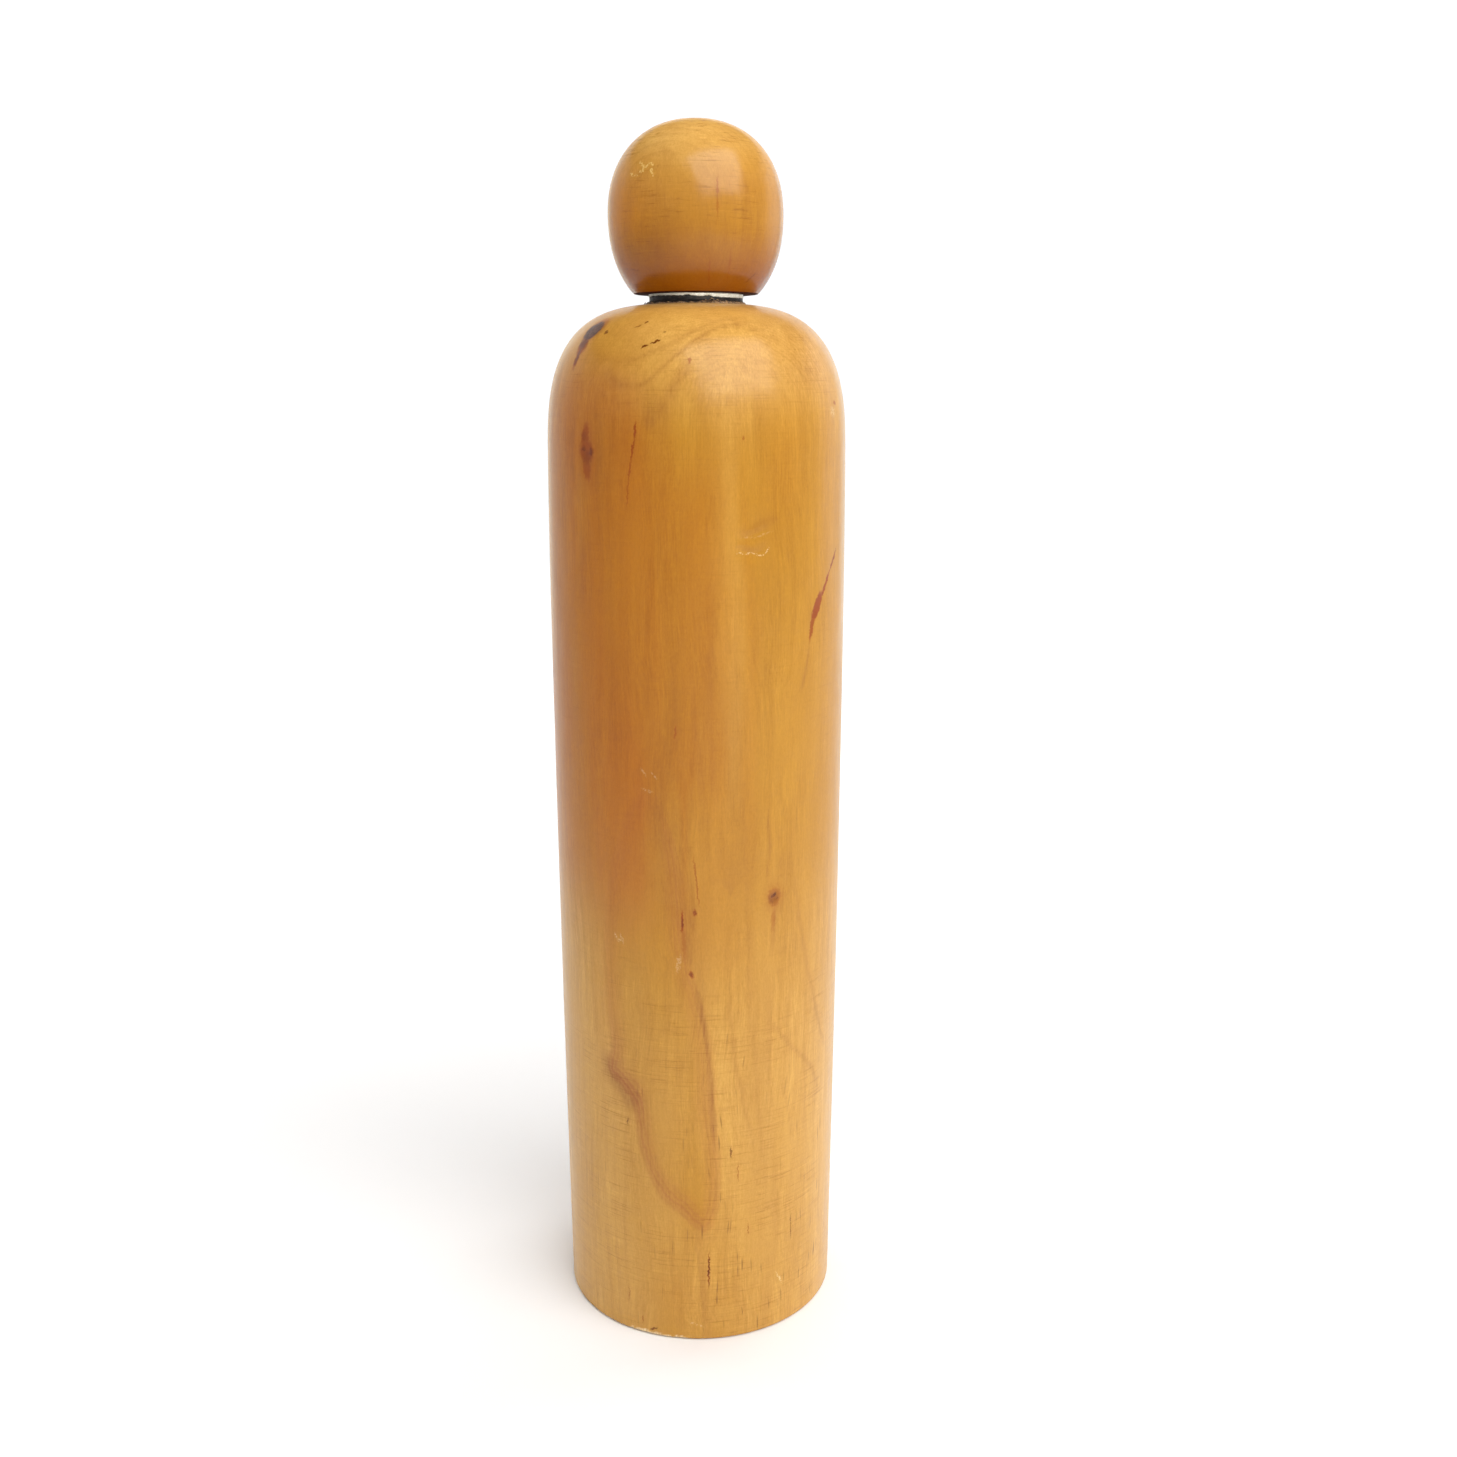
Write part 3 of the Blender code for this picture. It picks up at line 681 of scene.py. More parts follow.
BODY_RED = [
    (-0.3, 118.6, -0.1, 116.8, 0.8, 0.80, 0.4),
    (-2.2, 102.8, -1.4, 100.9, 1.1, 0.80, 0.4),
    (4.6, 25.2, 4.4, 15.8, 0.60, 0.80, 0.35),
    (65.9, 203.0, 60.0, 197.7, 0.7, 0.9, 0.3),
    (60.0, 198.1, 54.2, 192.1, 1.0, 0.95, 0.3),
    (54.3, 193.6, 48.9, 187.0, 2.7, 0.95, 0.2),
    (49.6, 189.0, 47.4, 182.2, 1.2, 0.85, 0.35),
    (-51.0, 256.8, -56.8, 251.6, 6.6, 0.55, 0.25),
    (-54.6, 252.6, -55.4, 248.4, 3.6, 0.85, 0.30),
    (-54.9, 250.4, -55.8, 245.4, 1.7, 0.85, 0.35),
    (-42.8, 233.4, -44.4, 226.0, 2.6, 0.78, 0.35),
    (-43.6, 229.6, -41.9, 224.2, 4.9, 0.82, 0.32),
    (-43.5, 226.0, -42.1, 220.3, 2.8, 0.76, 0.35),
    (-42.7, 233.4, -42.2, 219.0, 5.8, 0.30, 0.5),
    (30.9, 123.4, 31.2, 116.3, 4.8, 0.30, 0.6),
    (30.8, 122.6, 31.2, 117.4, 4.0, 0.54, 0.30),
    (31.0, 118.0, 30.6, 111.5, 1.3, 0.40, 0.7),
    (-21.0, 233.8, -21.5, 229.8, 0.55, 0.85, 0.4),
    (-21.5, 230.2, -22.9, 224.9, 0.50, 0.85, 0.4),
    (-22.9, 225.3, -24.0, 220.4, 0.42, 0.75, 0.45),
    (-24.0, 220.8, -24.5, 214.9, 0.34, 0.6, 0.5),
    (-1.2, 247.8, -1.6, 246.5, 0.9, 0.6, 0.5),
    (17.7, 230.8, 17.7, 229.7, 0.8, 0.6, 0.45),
    (64.7, 237.8, 67.0, 237.4, 1.0, 0.7, 0.4),
    (-0.6, 131.7, 1.2, 119.8, 0.42, 0.55, 0.4),
    (-5.0, 118.1, -5.3, 112.7, 0.75, 0.95, 0.35),
    (-5.0, 114.0, -4.3, 106.0, 0.9, 0.35, 0.6),
    (-7.2, 164.0, -7.4, 160.8, 0.5, 0.6, 0.4),
    (16.5, 49.8, 16.5, 44.8, 0.3, 0.6, 0.4),
    (20.9, 32.9, 21.0, 29.4, 0.3, 0.6, 0.4),
    (-23.8, 5.2, -23.9, 3.1, 0.4, 0.6, 0.4),
    (-30.2, 12.0, -30.3, 8.5, 0.3, 0.5, 0.4),
]  # fmt: skip
BODY_PALE = [
    (61.5, 236.2, 65.0, 235.0, 2.2, 0.5, 0.6),
    (-33.1, 110.3, -31.4, 108.4, 0.9, 0.6, 0.4),
    (-31.9, 109.3, -29.6, 108.6, 0.6, 0.6, 0.4),
    (-30.6, 110.6, -29.2, 107.9, 0.6, 0.5, 0.4),
    (-6.1, 106.6, -7.3, 102.4, 1.0, 0.45, 0.6),
    (15.2, 204.4, 18.2, 204.3, 0.34, 0.85, 0.4),
    (18.0, 204.3, 21.4, 204.4, 0.30, 0.8, 0.4),
    (21.2, 204.3, 24.9, 203.5, 0.34, 0.85, 0.4),
    (24.7, 203.5, 26.6, 204.2, 0.34, 0.9, 0.4),
    (26.4, 204.1, 27.8, 205.6, 0.34, 0.85, 0.4),
    # these two faint pale lines along the upper dent are painted highlight on its lip, not marks in the wood
    (16.9, 208.0, 22.2, 207.8, 0.40, 0.22, 0.6),
    (22.0, 207.8, 28.6, 208.9, 0.40, 0.22, 0.6),
    (34.4, 15.8, 37.7, 12.0, 0.5, 0.9, 0.4),
    (-3.4, 5.2, 2.4, 3.8, 0.5, 0.55, 0.5),
    (-20.4, 153.2, -18.5, 151.5, 0.5, 0.4, 0.5),
    (-16.5, 152.6, -14.2, 150.9, 0.5, 0.35, 0.5),
    (-20.1, 148.3, -16.1, 147.6, 0.5, 0.35, 0.5),
]  # fmt: skip
HEAD_DARK = [
    (44.8, 265.1, 52.0, 267.4, 0.45, 0.45, 0.5),
]  # fmt: skip
HEAD_RED = [
    (15.3, 288.0, 14.9, 283.9, 0.5, 0.50, 0.6),
    (14.9, 284.1, 14.7, 279.2, 0.5, 0.35, 0.6),
    (10.6, 270.1, 11.6, 264.6, 0.45, 0.35, 0.6),
    (25.1, 271.9, 26.0, 266.0, 0.40, 0.30, 0.6),
]  # fmt: skip
HEAD_PALE = [
    (-41.0, 291.8, -37.4, 290.6, 0.83, 1.0, 0.3),
    (-37.8, 290.8, -34.2, 290.3, 0.75, 1.0, 0.3),
    (-34.6, 290.3, -31.0, 291.1, 0.68, 1.0, 0.3),
    (-31.2, 291.2, -28.6, 290.4, 0.75, 1.0, 0.3),
    (-47.6, 289.2, -43.4, 288.7, 0.75, 1.0, 0.3),
    (-43.8, 288.8, -40.1, 288.5, 0.68, 0.9, 0.3),
    (-36.2, 290.2, -36.8, 288.9, 0.75, 1.0, 0.3),
    (-30.2, 289.8, -28.0, 289.0, 0.75, 1.0, 0.3),
    (-28.4, 289.1, -26.8, 288.3, 0.68, 0.9, 0.3),
    (-38.6, 289.6, -37.9, 289.2, 0.60, 0.9, 0.3),
]  # fmt: skip

ARC = math.radians(1.0) * 37.0  # mm of surface for one degree of azimuth


def unrolled(points):
    return [(p * ARC, z) for p, z in points]


def veins(phi, z, listed):
    """The strongest vein at each vertex, from 0 to 1."""
    u = np.degrees(phi) * ARC
    total = np.zeros(u.shape)
    wander = Noise3(41)
    shift = 0.5 * wander.fbm(u * 0.2, z * 0.09, z * 0 + 3.0, 3)
    for points, width, strength, fade in listed:
        line = rounded(unrolled(points))
        d, t = polyline_distance(u + shift, z, line)
        ends = smooth(0, fade, t) * smooth(0, fade, 1 - t) if fade > 0 else 1.0
        total = np.maximum(total, strength * ends * np.exp(-((d / width) ** 2)))
    return total


def flame(phi, z):
    """Distance in mm from the edge of the layer that is cut at a slant (below 0 inside), and its strength."""
    u = np.degrees(phi) * ARC
    noise = Noise3(7)
    shift_u = 0.6 * noise.fbm(u * 0.16, z * 0.06, z * 0 + 1.0, 3)
    shift_z = 1.6 * noise.fbm(u * 0.22, z * 0.11, z * 0 + 9.0, 3)
    outline = rounded(unrolled(FLAME + FLAME[:1]), 5)
    d, t = polyline_distance(u + shift_u, z + shift_z, outline, 0.75)
    within = inside(u + shift_u, z + shift_z, outline[:-1])
    signed = np.where(within, -d, d)
    low = smooth(85, 62, z)
    strength = 0.31 + 0.12 * low + 0.30 * np.exp(-(((z - 70) / 7) ** 2)) * (u < -14)
    strength = strength * (1 - 0.45 * smooth(78, 92, z) * (u < -8)) * (1 - 0.15 * smooth(120, 140, z))
    strength = strength * (1 - 0.28 * smooth(-2, 4, u))
    return signed, np.clip(strength, 0, 1) * smooth(160, 149, z)


def growth(x, y, z):
    """Growth layers: nearly flat sheets that face the front, bowed along the trunk."""
    noise = Noise3(3)
    bow = 2.6 * np.exp(-(((z - 98) / 52) ** 2)) - 0.020 * (z - 98)
    bow = bow + 5.0 * smooth(225, 262, z) * 0.6
    skew = 0.16 * x + 0.0035 * (x + 10) ** 2
    slow = 1.6 * noise.fbm(x * 0.03, y * 0.03, z * 0.012, 2) + 0.45 * noise.fbm(
        x * 0.12, y * 0.12, z * 0.035, 2
    )
    return (y + bow - skew + slow) / 2.3


def bell(v, middle, half):
    return np.exp(-(((v - middle) / half) ** 2))


def body_attributes(t):
    x, y, z = t.xyz()
    phi = (t.phi + math.pi) % (2 * math.pi) - math.pi
    noise = Noise3(11)
    deg = np.degrees(phi)
    soft = noise.fbm(deg * 0.08, z * 0.02, z * 0, 3)
    deg_w = deg + 5.5 * noise.fbm(deg * 0.13, z * 0.022, z * 0 + 4, 3)
    grow = growth(x, y, z)
    signed, strength = flame(phi, z)
    near_flame = smooth(-2.0, 2.5, signed)
    front = smooth(1.9, 1.2, np.abs(phi))
    quiet = 1 - 0.85 * smooth(125, 150, z) * smooth(244, 228, z)
    grow_amp = quiet * (1 - front * (1 - near_flame)) * (0.75 + 0.25 * noise.at(z * 0.05, x * 0.05, y * 0.05))
    grow_amp = grow_amp * (0.45 + 0.55 * smooth(-15, 15, deg)) * (1 - 0.62 * smooth(215, 235, z))
    grow_amp = grow_amp * (1 - 0.72 * smooth(18, 42, deg) * smooth(98, 82, deg))
    # the redder heart side, down the left of the front and again at the back
    warm = smooth(-4, -30, deg_w) * smooth(-135, -100, deg) * smooth(96, 128, z) * smooth(256, 238, z)
    warm = warm * (0.86 + 0.25 * soft)
    warm = warm * (1 - 0.15 * smooth(-56, -76, deg))
    warm = warm + 0.25 * bell(deg, -21, 9) * bell(z, 147, 11) + 0.30 * bell(deg, -52, 9) * bell(z, 238, 14) + 0.40 * bell(deg, -37, 9) * bell(z, 241, 6)
    warm = warm + 0.75 * bell(deg, 165, 26) * smooth(60, 120, z) * smooth(250, 215, z)
    warm = warm + 0.4 * bell(deg, -38, 8) * bell(z, 88, 22)
    warm = warm + 0.22 * bell(deg_w, 2, 17) * smooth(88, 112, z) * smooth(236, 214, z)
    # brown bands of fibre
    brown = 0.85 * smooth(-36, -14, deg_w) * smooth(15.5, 0.5, deg_w) * smooth(136, 158, z) * smooth(236, 208, z)
    brown = brown + 0.75 * bell(deg_w, -4.5, 3.2) * smooth(104, 120, z) * smooth(168, 150, z)
    brown = brown + 0.45 * bell(deg, 34, 9) * bell(z, 224, 15) + 0.55 * bell(deg, -26, 12) * bell(z, 254.6, 2.4)
    brown = brown + 0.40 * bell(deg, 8, 9) * bell(z, 256.6, 1.6) + 0.35 * bell(deg_w, 20, 3) * smooth(110, 150, z) * smooth(235, 200, z)
    brown = brown + 0.30 * bell(deg, -4, 24) * bell(z, 12, 9) + 0.3 * bell(deg, 4, 7) * bell(z, 31, 7)
    brown = brown + 0.60 * bell(deg_w, 112, 14) + 0.45 * bell(deg_w, -118, 10)
    brown = brown + 0.45 * bell(deg, -20, 13) * smooth(241, 232, z) * smooth(205, 222, z)
    # paler, yellower wood: the lower part, and the shoulder; part of this paleness is painted light: painted highlight
    # on the shoulder's front, painted reflection and fill light near the sides low down
    pale = 0.74 * smooth(150, 62, z) * (0.95 + 0.2 * soft)
    # the first term, pale low on the left near the edge, is painted reflection of the bright surroundings
    pale = pale + 0.26 * bell(deg, -64, 20) * smooth(135, 70, z) - 0.20 * bell(deg, -5, 16) * smooth(130, 30, z)
    # the whole shoulder is paler: partly the wood's tone, partly the key light's highlight painted in, most on the
    # right
    pale = pale + 0.62 * smooth(228, 250, z) * (0.45 + 0.55 * smooth(-48, -8, deg))
    # a pale vertical band down the front right: painted highlight where the key light's reflection runs down the side
    pale = pale + 0.20 * bell(deg_w, 12.5, 6.0) * smooth(130, 160, z) * smooth(240, 222, z)
    pale = pale + 0.10 * bell(deg, 40, 25) * smooth(205, 235, z)
    # the first term, pale low on the right near the edge, is painted fill light
    pale = pale + 0.16 * bell(deg, 68, 14) * smooth(130, 90, z) - 0.10 * bell(deg, 0, 22) * smooth(60, 30, z)
    # partly painted highlight: these two lines carry the key light's pale reflection further down the shoulder's front
    # and over the dome's front
    pale = pale + 0.30 * bell(deg, 14.5, 8.5) * bell(z, 236, 7.5)
    pale = pale + smooth(234, 246, z) * (0.14 * bell(deg, 0, 22) + 0.24 * smooth(20, 40, deg) * smooth(120, 90, deg))
    # the two side terms, pale near the left and right edges, are partly painted reflection and fill light
    pale = pale + bell(z, 110, 15) * (0.16 * smooth(42, 62, deg) * smooth(110, 90, deg) + 0.16 * bell(deg, -60, 18) - 0.12 * bell(deg, 0, 22))
    # the first term is painted fill light low on the right
    pale = pale + 0.18 * smooth(98, 72, z) * bell(deg, 62, 16) - 0.08 * bell(deg, -2, 22) * smooth(70, 40, z)
    inner = smooth(1.5, -3.0, signed)
    pale = pale - 0.24 * inner * smooth(140, 95, z)
    pores = 0.15 + 0.85 * smooth(112, 55, z)
    pores = pores * (0.45 + 0.55 * smooth(-30, 5, deg) * smooth(110, 75, np.abs(deg)))
    lathe = 0.25 + 0.75 * smooth(120, 70, z) + 0.55 * smooth(228, 246, z)
    return {
        "grow": grow,
        "grow_amp": np.clip(grow_amp, 0, 1),
        "slant_d": np.clip(signed, -8, 8),
        "slant_amp": strength,
        "vein": np.maximum(veins(phi, z, VEINS), 0.22 * smooth(234, 247, z) * smooth(20, 42, deg) * smooth(125, 95, deg)),
        "warm": np.clip(warm, 0, 1),
        "brown": np.clip(brown, 0, 1),
        "pale": np.clip(pale, 0, 1),
        "pores": np.clip(pores, 0, 1),
        "lathe": np.clip(lathe, 0, 1),
        "rings": smooth(236, 246, z) * (0.3 + 0.7 * smooth(-20, 8, deg)),
        "raw": t.raw,
    }


# ------------------------------------------------------------------ body
def make_body():
    edge = 0.75
    base = [(0, 0), (BASE_R - edge - 0.9, 0)]
    rim = []
    for k in range(1, 9):
        a = math.pi / 2 * k / 8
        rim.append((float(body_radius(edge)) - edge * (1 - math.sin(a)), edge * (1 - math.cos(a))))
    low = [(float(body_radius(v)), v) for v in np.arange(1.0, 4.0, 0.3)]
    side = [(float(body_radius(v)), v) for v in np.arange(4.0, SHOULDER_Z, 1.0)]
    rise = np.sin(np.linspace(0, 1, 200) * math.pi / 2) ** 1.1
    dome = [(float(body_radius(v)), v) for v in SHOULDER_Z + (BODY_TOP - SHOULDER_Z) * rise]
    dome = [q for q in dome if q[0] > RING_R + 0.6]
    rim_z = dome[-1][1] + 0.02
    inner = [
        (RING_R + 0.42, rim_z),
        (RING_R + 0.35, rim_z - 0.08),
        (RING_R + 0.35, SEAT_Z),
        (9.0, SEAT_Z),
        (8.6, SEAT_Z - 0.4),
        (8.6, 231.5),
        (0, 231.5 - 8.6 / math.tan(math.radians(59))),
    ]
    profile = np.concatenate(
        [
            [(0, 0), (2, 0)],
            even([(2, 0), (BASE_R - edge - 1.2, 0)], 3.5)[1:],
            even([(BASE_R - edge - 1.2, 0), (BASE_R - edge, 0)], 0.4)[1:],
            rim,
            low,
            even(side + dome, 0.86),
            inner,
        ]
    )
    t = Turned(profile, columns(1.0, 3.4, 106))
    x, y, z = t.xyz()
    phi = (t.phi + math.pi) % (2 * math.pi) - math.pi
    deg = np.degrees(phi)
    outer = (np.arange(len(profile)) < len(profile) - len(inner))[1:-1][:, None] * np.ones_like(z)
    on_base = (t.z <= 0.0005) * 1.0
    outer_side = outer * (1 - on_base)
    noise = Noise3(23)

    # turned wood is never quite round: it moves across the grain, and the tool leaves slow waves
    move = 0.05 * np.cos(2 * (phi - 0.6)) + 0.035 * noise.fbm(x * 0.06, y * 0.06, z * 0.03, 2)
    move += 0.012 * np.sin(z * 1.25 + 2.0 * noise.at(z * 0.05, z * 0, z * 0)) * smooth(130, 60, z)
    t.r = t.r + move * outer_side * smooth(0.0, 3.0, z) * smooth(BODY_TOP - 0.5, BODY_TOP - 6, z)

    def dent(points, width, depth, wobble=0.25):
        u = deg * ARC
        line = rounded(unrolled(points))
        d, s = polyline_distance(u + wobble * noise.fbm(u * 0.5, z * 0.5, z * 0, 2), z, line)
        ends = smooth(0, 0.2, s) * smooth(0, 0.2, 1 - s)
        return -depth * ends * np.exp(-((d / width) ** 2))

    dz = dent([(14.5, 207.9), (18.5, 207.6), (23.5, 208.5), (28.5, 209.9)], 0.9, 0.24)
    dz += dent([(13.5, 204.9), (17.0, 204.9), (19.5, 204.1), (22.5, 204.0), (25.0, 204.9), (27.3, 205.9)], 0.8, 0.24)
    dz += dent([(18.0, 210.9), (22.0, 211.3), (26.5, 212.3)], 1.0, 0.07)
    # a lip stands just above each dent
    dz -= dent([(14.5, 206.8), (18.5, 206.5), (23.5, 207.4), (28.5, 208.8)], 0.7, 0.06)
    # knots: slightly sunk, with a proud ring round the small round one
    u = deg * ARC
    d_round = np.hypot(u - 31.6 * ARC, (z - 120.0))
    dz += 0.10 * np.exp(-(((d_round - 2.3) / 0.8) ** 2)) - 0.28 * np.exp(-((d_round / 1.3) ** 2))
    d_eye = np.hypot(u + 43.0 * ARC, (z - 226.2) * 0.42)
    dz += -0.20 * np.exp(-((d_eye / 1.7) ** 2))
    d_knot = np.hypot((deg + 54.4) * math.radians(1) * 29.0, (z - 254.0) * 1.4)
    dz += -0.06 * np.exp(-((d_knot / 2.2) ** 2)) + 0.02 * np.exp(-(((d_knot - 3.1) / 0.8) ** 2))
    dz += dent([(-21.0, 233.8), (-22.9, 225.3), (-24.2, 219.0)], 0.5, 0.08, 0.1)
    dz += dent([(65.9, 203.0), (60.0, 197.7), (54.2, 192.1), (49.0, 188.0), (47.6, 182.9)], 0.6, 0.07, 0.1)
    dz += dent([(4.6, 24.2), (4.4, 16.5)], 0.45, 0.10, 0.05)
    # small knocks here and there
    rng = np.random.RandomState(5)
    for _ in range(26):
        a, h = rng.uniform(-180, 180), rng.uniform(8, 238)
        size, depth = rng.uniform(0.8, 2.2), rng.uniform(0.02, 0.07)
        away = (deg - a + 180) % 360 - 180
        dz += -depth * np.exp(-(((away * ARC) / size) ** 2 + ((z - h) / (size * rng.uniform(0.5, 1.6))) ** 2))
    t.r = t.r + dz * outer_side * (t.z > 2)

    # splintered stretch of the foot's edge at the front left
    along = smooth(-33, -27, deg) * smooth(-1.5, -7, deg)
    ragged = 0.55 + 0.45 * noise.fbm(deg * 0.55, z * 0.9, z * 0 + 2, 3)
    ragged = np.clip(ragged + 0.25 * noise.at(deg * 2.1, z * 0.4, z * 0 + 5), 0, 1.2)
    height = 1.05 * along * ragged  # how far up the edge is broken away
    nibbles = 0.35 * smooth(0.25, 0.6, noise.fbm(deg * 0.22 + 40, z * 0, z * 0, 3))
    height = np.maximum(height, nibbles)
    cut = np.clip(height - t.z, 0, None) * (t.r > BASE_R - 2.4) * outer
    t.r = t.r - cut * 0.28 * (0.75 + 0.5 * noise.at(deg * 1.3, z * 1.7, z * 0))
    t.z = t.z + np.clip(cut * 0.12, 0, 0.2) * (t.r > BASE_R - 2.0)
    bare = 1.75 * along * np.clip(ragged, 0.25, 1)
    t.raw = np.maximum(smooth(0.02, 0.16, cut) * (height > 0.25), smooth(-0.05, 0.12, bare - t.z) * along * outer)
    piece = t.make("body_turned", body_attributes(t))
    return piece


def make_head():
    edge = 0.35
    bore = [
        (0, 287.5 + 6.3 / math.tan(math.radians(59))),
        (6.3, 287.5),
        (6.3, HEAD_BOTTOM + 0.4),
        (6.7, HEAD_BOTTOM),
    ]
    flat = even([(6.7, HEAD_BOTTOM), (HEAD_FLAT - edge, HEAD_BOTTOM)], 0.8)[1:]
    corner = []
    for k in range(1, 6):
        a = math.pi / 2 * k / 5
        corner.append(
            (
                HEAD_FLAT - edge * (1 - math.sin(a)) + 0.12 * k / 5,
                HEAD_BOTTOM + edge * (1 - math.cos(a)) * 0.8,
            )
        )
    low = [(float(head_radius(v)), v) for v in np.linspace(HEAD_BOTTOM + edge, HEAD_WIDEST, 120)[1:]]
    rise = np.sin(np.linspace(0, 1, 220) * math.pi / 2)
    top = [(float(head_radius(v)), v) for v in HEAD_WIDEST + (TOTAL - HEAD_WIDEST) * rise][1:]
    outer = even([q for q in low + top if q[0] > 0.5] + [(0.5, TOTAL - 0.002)], 0.5)
    profile = np.concatenate([bore, flat, corner, outer, [(0, TOTAL)]])
    t = Turned(profile, columns(2.0, 4.0, 108))
    x, y, z = t.xyz()
    phi = (t.phi + math.pi) % (2 * math.pi) - math.pi
    deg = np.degrees(phi)
    noise = Noise3(29)
    is_outer = (np.arange(len(profile))[1:-1] >= len(bore) + len(flat) + len(corner) - 1)[:, None] * 1.0
    fade = smooth(HEAD_BOTTOM, HEAD_BOTTOM + 2, z) * smooth(TOTAL - 0.02, TOTAL - 3, z)
    move = 0.035 * np.cos(2 * (phi - 1.1)) + 0.03 * noise.fbm(x * 0.09, y * 0.09, z * 0.07, 2)
    arc = math.radians(1.0) * 20.5
    u = deg * arc
    # chipped varnish high on the left
    for a, h, size, depth in (
        (-36.0, 291.0, 1.1, 0.09), (-41.0, 289.0, 1.0, 0.08), (-28.5, 289.4, 0.9, 0.07),
        (-33.0, 287.6, 0.8, 0.04), (52.0, 262.0, 1.0, 0.05), (130.0, 276.0, 1.6, 0.05),
        (-110.0, 284.0, 1.5, 0.05), (-150.0, 270.0, 1.2, 0.06),
    ):  # fmt: skip
        d = np.hypot(u - a * arc, z - h) + 0.5 * noise.fbm(u * 1.1, z * 1.1, z * 0, 2)
        move = move - depth * smooth(size, size * 0.4, d)
    t.r = t.r + move * fade * is_outer
    vein_list = [
        ([(15.6, 291.0), (15.0, 284.0), (14.6, 277.0)], 0.45, 0.18, 0.35),
        ([(-27.0, 279.0), (-26.0, 272.0), (-27.0, 268.0)], 1.6, 0.25, 0.4),
        ([(-18.0, 283.0), (-17.0, 275.0), (-18.0, 268.0)], 0.9, 0.14, 0.4),
        ([(33.0, 291.0), (35.0, 280.0), (34.0, 270.0)], 0.9, 0.14, 0.3),
        ([(150.0, 292.0), (154.0, 280.0), (150.0, 268.0)], 0.8, 0.25, 0.3),
        ([(-120.0, 288.0), (-126.0, 279.0), (-121.0, 270.0)], 0.8, 0.25, 0.3),
    ]
    total = np.zeros(u.shape)
    for points, width, strength, share in vein_list:
        line = rounded([(p * arc, h) for p, h in points])
        d, s = polyline_distance(u, z, line)
        total = np.maximum(total, strength * smooth(0, share, s) * smooth(0, share, 1 - s) * np.exp(-((d / width) ** 2)))
    grow = (y * 0.9 + 0.35 * x + 0.10 * (z - 283) + 1.2 * noise.fbm(x * 0.06, y * 0.06, z * 0.03, 2)) / 1.9
    # the lower half of the head is darker and redder: partly the wood's tone, partly painted shade where it faces down
    # to the shoulder; the band just above the bottom edge is painted shade under the head
    warm = 0.95 * smooth(280.5, 265.5, z) + 0.25 * bell(deg, 160, 40)
    warm = warm + 0.36 * bell(z, 264.4, 1.6) + 0.10 * bell(deg, -60, 14) * smooth(284, 274, z) + 0.18 * bell(deg, -14, 20) * bell(z, 277, 5)
    warm = warm - 0.16 * bell(deg, 22, 14) * bell(z, 270.5, 3.2)
    # the top of the head is paler: partly the wood's tone, partly painted light from above
    pale = 0.85 * smooth(284, 300, z) + 0.25 * bell(deg, -30, 40) * smooth(278, 290, z)
    zero = np.zeros(u.shape)
    return t.make(
        "head_turned",
        {
            "grow": grow,
            "grow_amp": zero + 0.40,
            "slant_d": zero + 8,
            "slant_amp": zero,
            "vein": total,
            "warm": np.clip(warm, 0, 1),
            "brown": 0.75 * bell(deg, -52, 27) * smooth(266, 280, z) * smooth(300, 292, z),
            "pale": np.clip(pale, 0, 1),
            "pores": zero + 0.15,
            "lathe": 0.7 + 0.3 * smooth(286, 296, z),
            "rings": 0.35 * smooth(290, 297, z),
            "raw": zero,
        },
    )


# ------------------------------------------------------------------ neck
def collar_edge(deg):
    """How far the collar's lower edge stands above its lowest line, in mm, round the neck."""
    noise = Noise3(37)
    a = np.radians(deg)
    c, s = np.cos(a), np.sin(a)
    rise = 0.26 - 0.36 * smooth(14, 34, deg) * smooth(88, 70, deg) + 0.20 * smooth(-4, -50, deg)
    rise = rise + 0.22 * noise.fbm(c * 7, s * 7, c * 0, 3) + 0.14 * noise.fbm(c * 24, s * 24, c * 0 + 4, 2)
    rise = rise + 0.12 * np.exp(-(((deg + 12) / 8) ** 2)) - 0.14 * np.exp(-(((deg - 6) / 5) ** 2))
    return np.clip(rise, -0.12, 0.62)


def make_neck_ring():
    """The black ring: a straight band whose foot spreads onto the shoulder, a little uneven."""
    top = FLANGE_LOW + 0.02
    foot = 260.72
    profile = [
        (8.65, SEAT_Z + 0.05),
        (RING_R + 0.25, SEAT_Z + 0.05),
        (RING_R + 0.28, foot - 0.25),
        (RING_R + 0.85, foot + 0.03),
        (RING_R + 0.72, foot + 0.17),
        (RING_R + 0.40, foot + 0.36),
        (RING_R + 0.16, foot + 0.60),
        (RING_R + 0.05, foot + 0.85),
        (RING_R + 0.02, top - 0.22),
        (RING_R - 0.05, top - 0.06),
        (RING_R - 0.20, top),
        (8.65, top),
    ]
    t = Turned(profile, np.arange(0, 360, 1.5), closed_ring=True)
    noise = Noise3(31)
    deg = np.degrees(t.phi)
    c, s = np.cos(t.phi), np.sin(t.phi)
    skirt = smooth(foot + 0.7, foot, t.z) * (t.r > RING_R + 0.1)
    t.r = t.r + skirt * (0.22 * noise.fbm(c * 9, s * 9, t.z * 0, 3) - 0.03)
    round_deg = np.degrees((t.phi + math.pi) % (2 * math.pi) - math.pi)
    t.z = t.z + smooth(foot + 0.8, top, t.z) * (t.r > RING_R - 0.3) * np.clip(collar_edge(round_deg), 0, 1)
    side = (t.r > RING_R - 0.3) * (t.z > foot)
    t.r = t.r + side * 0.05 * noise.fbm(c * 16, s * 16, t.z * 1.7, 3)
    return t.make("neck_ring_black")


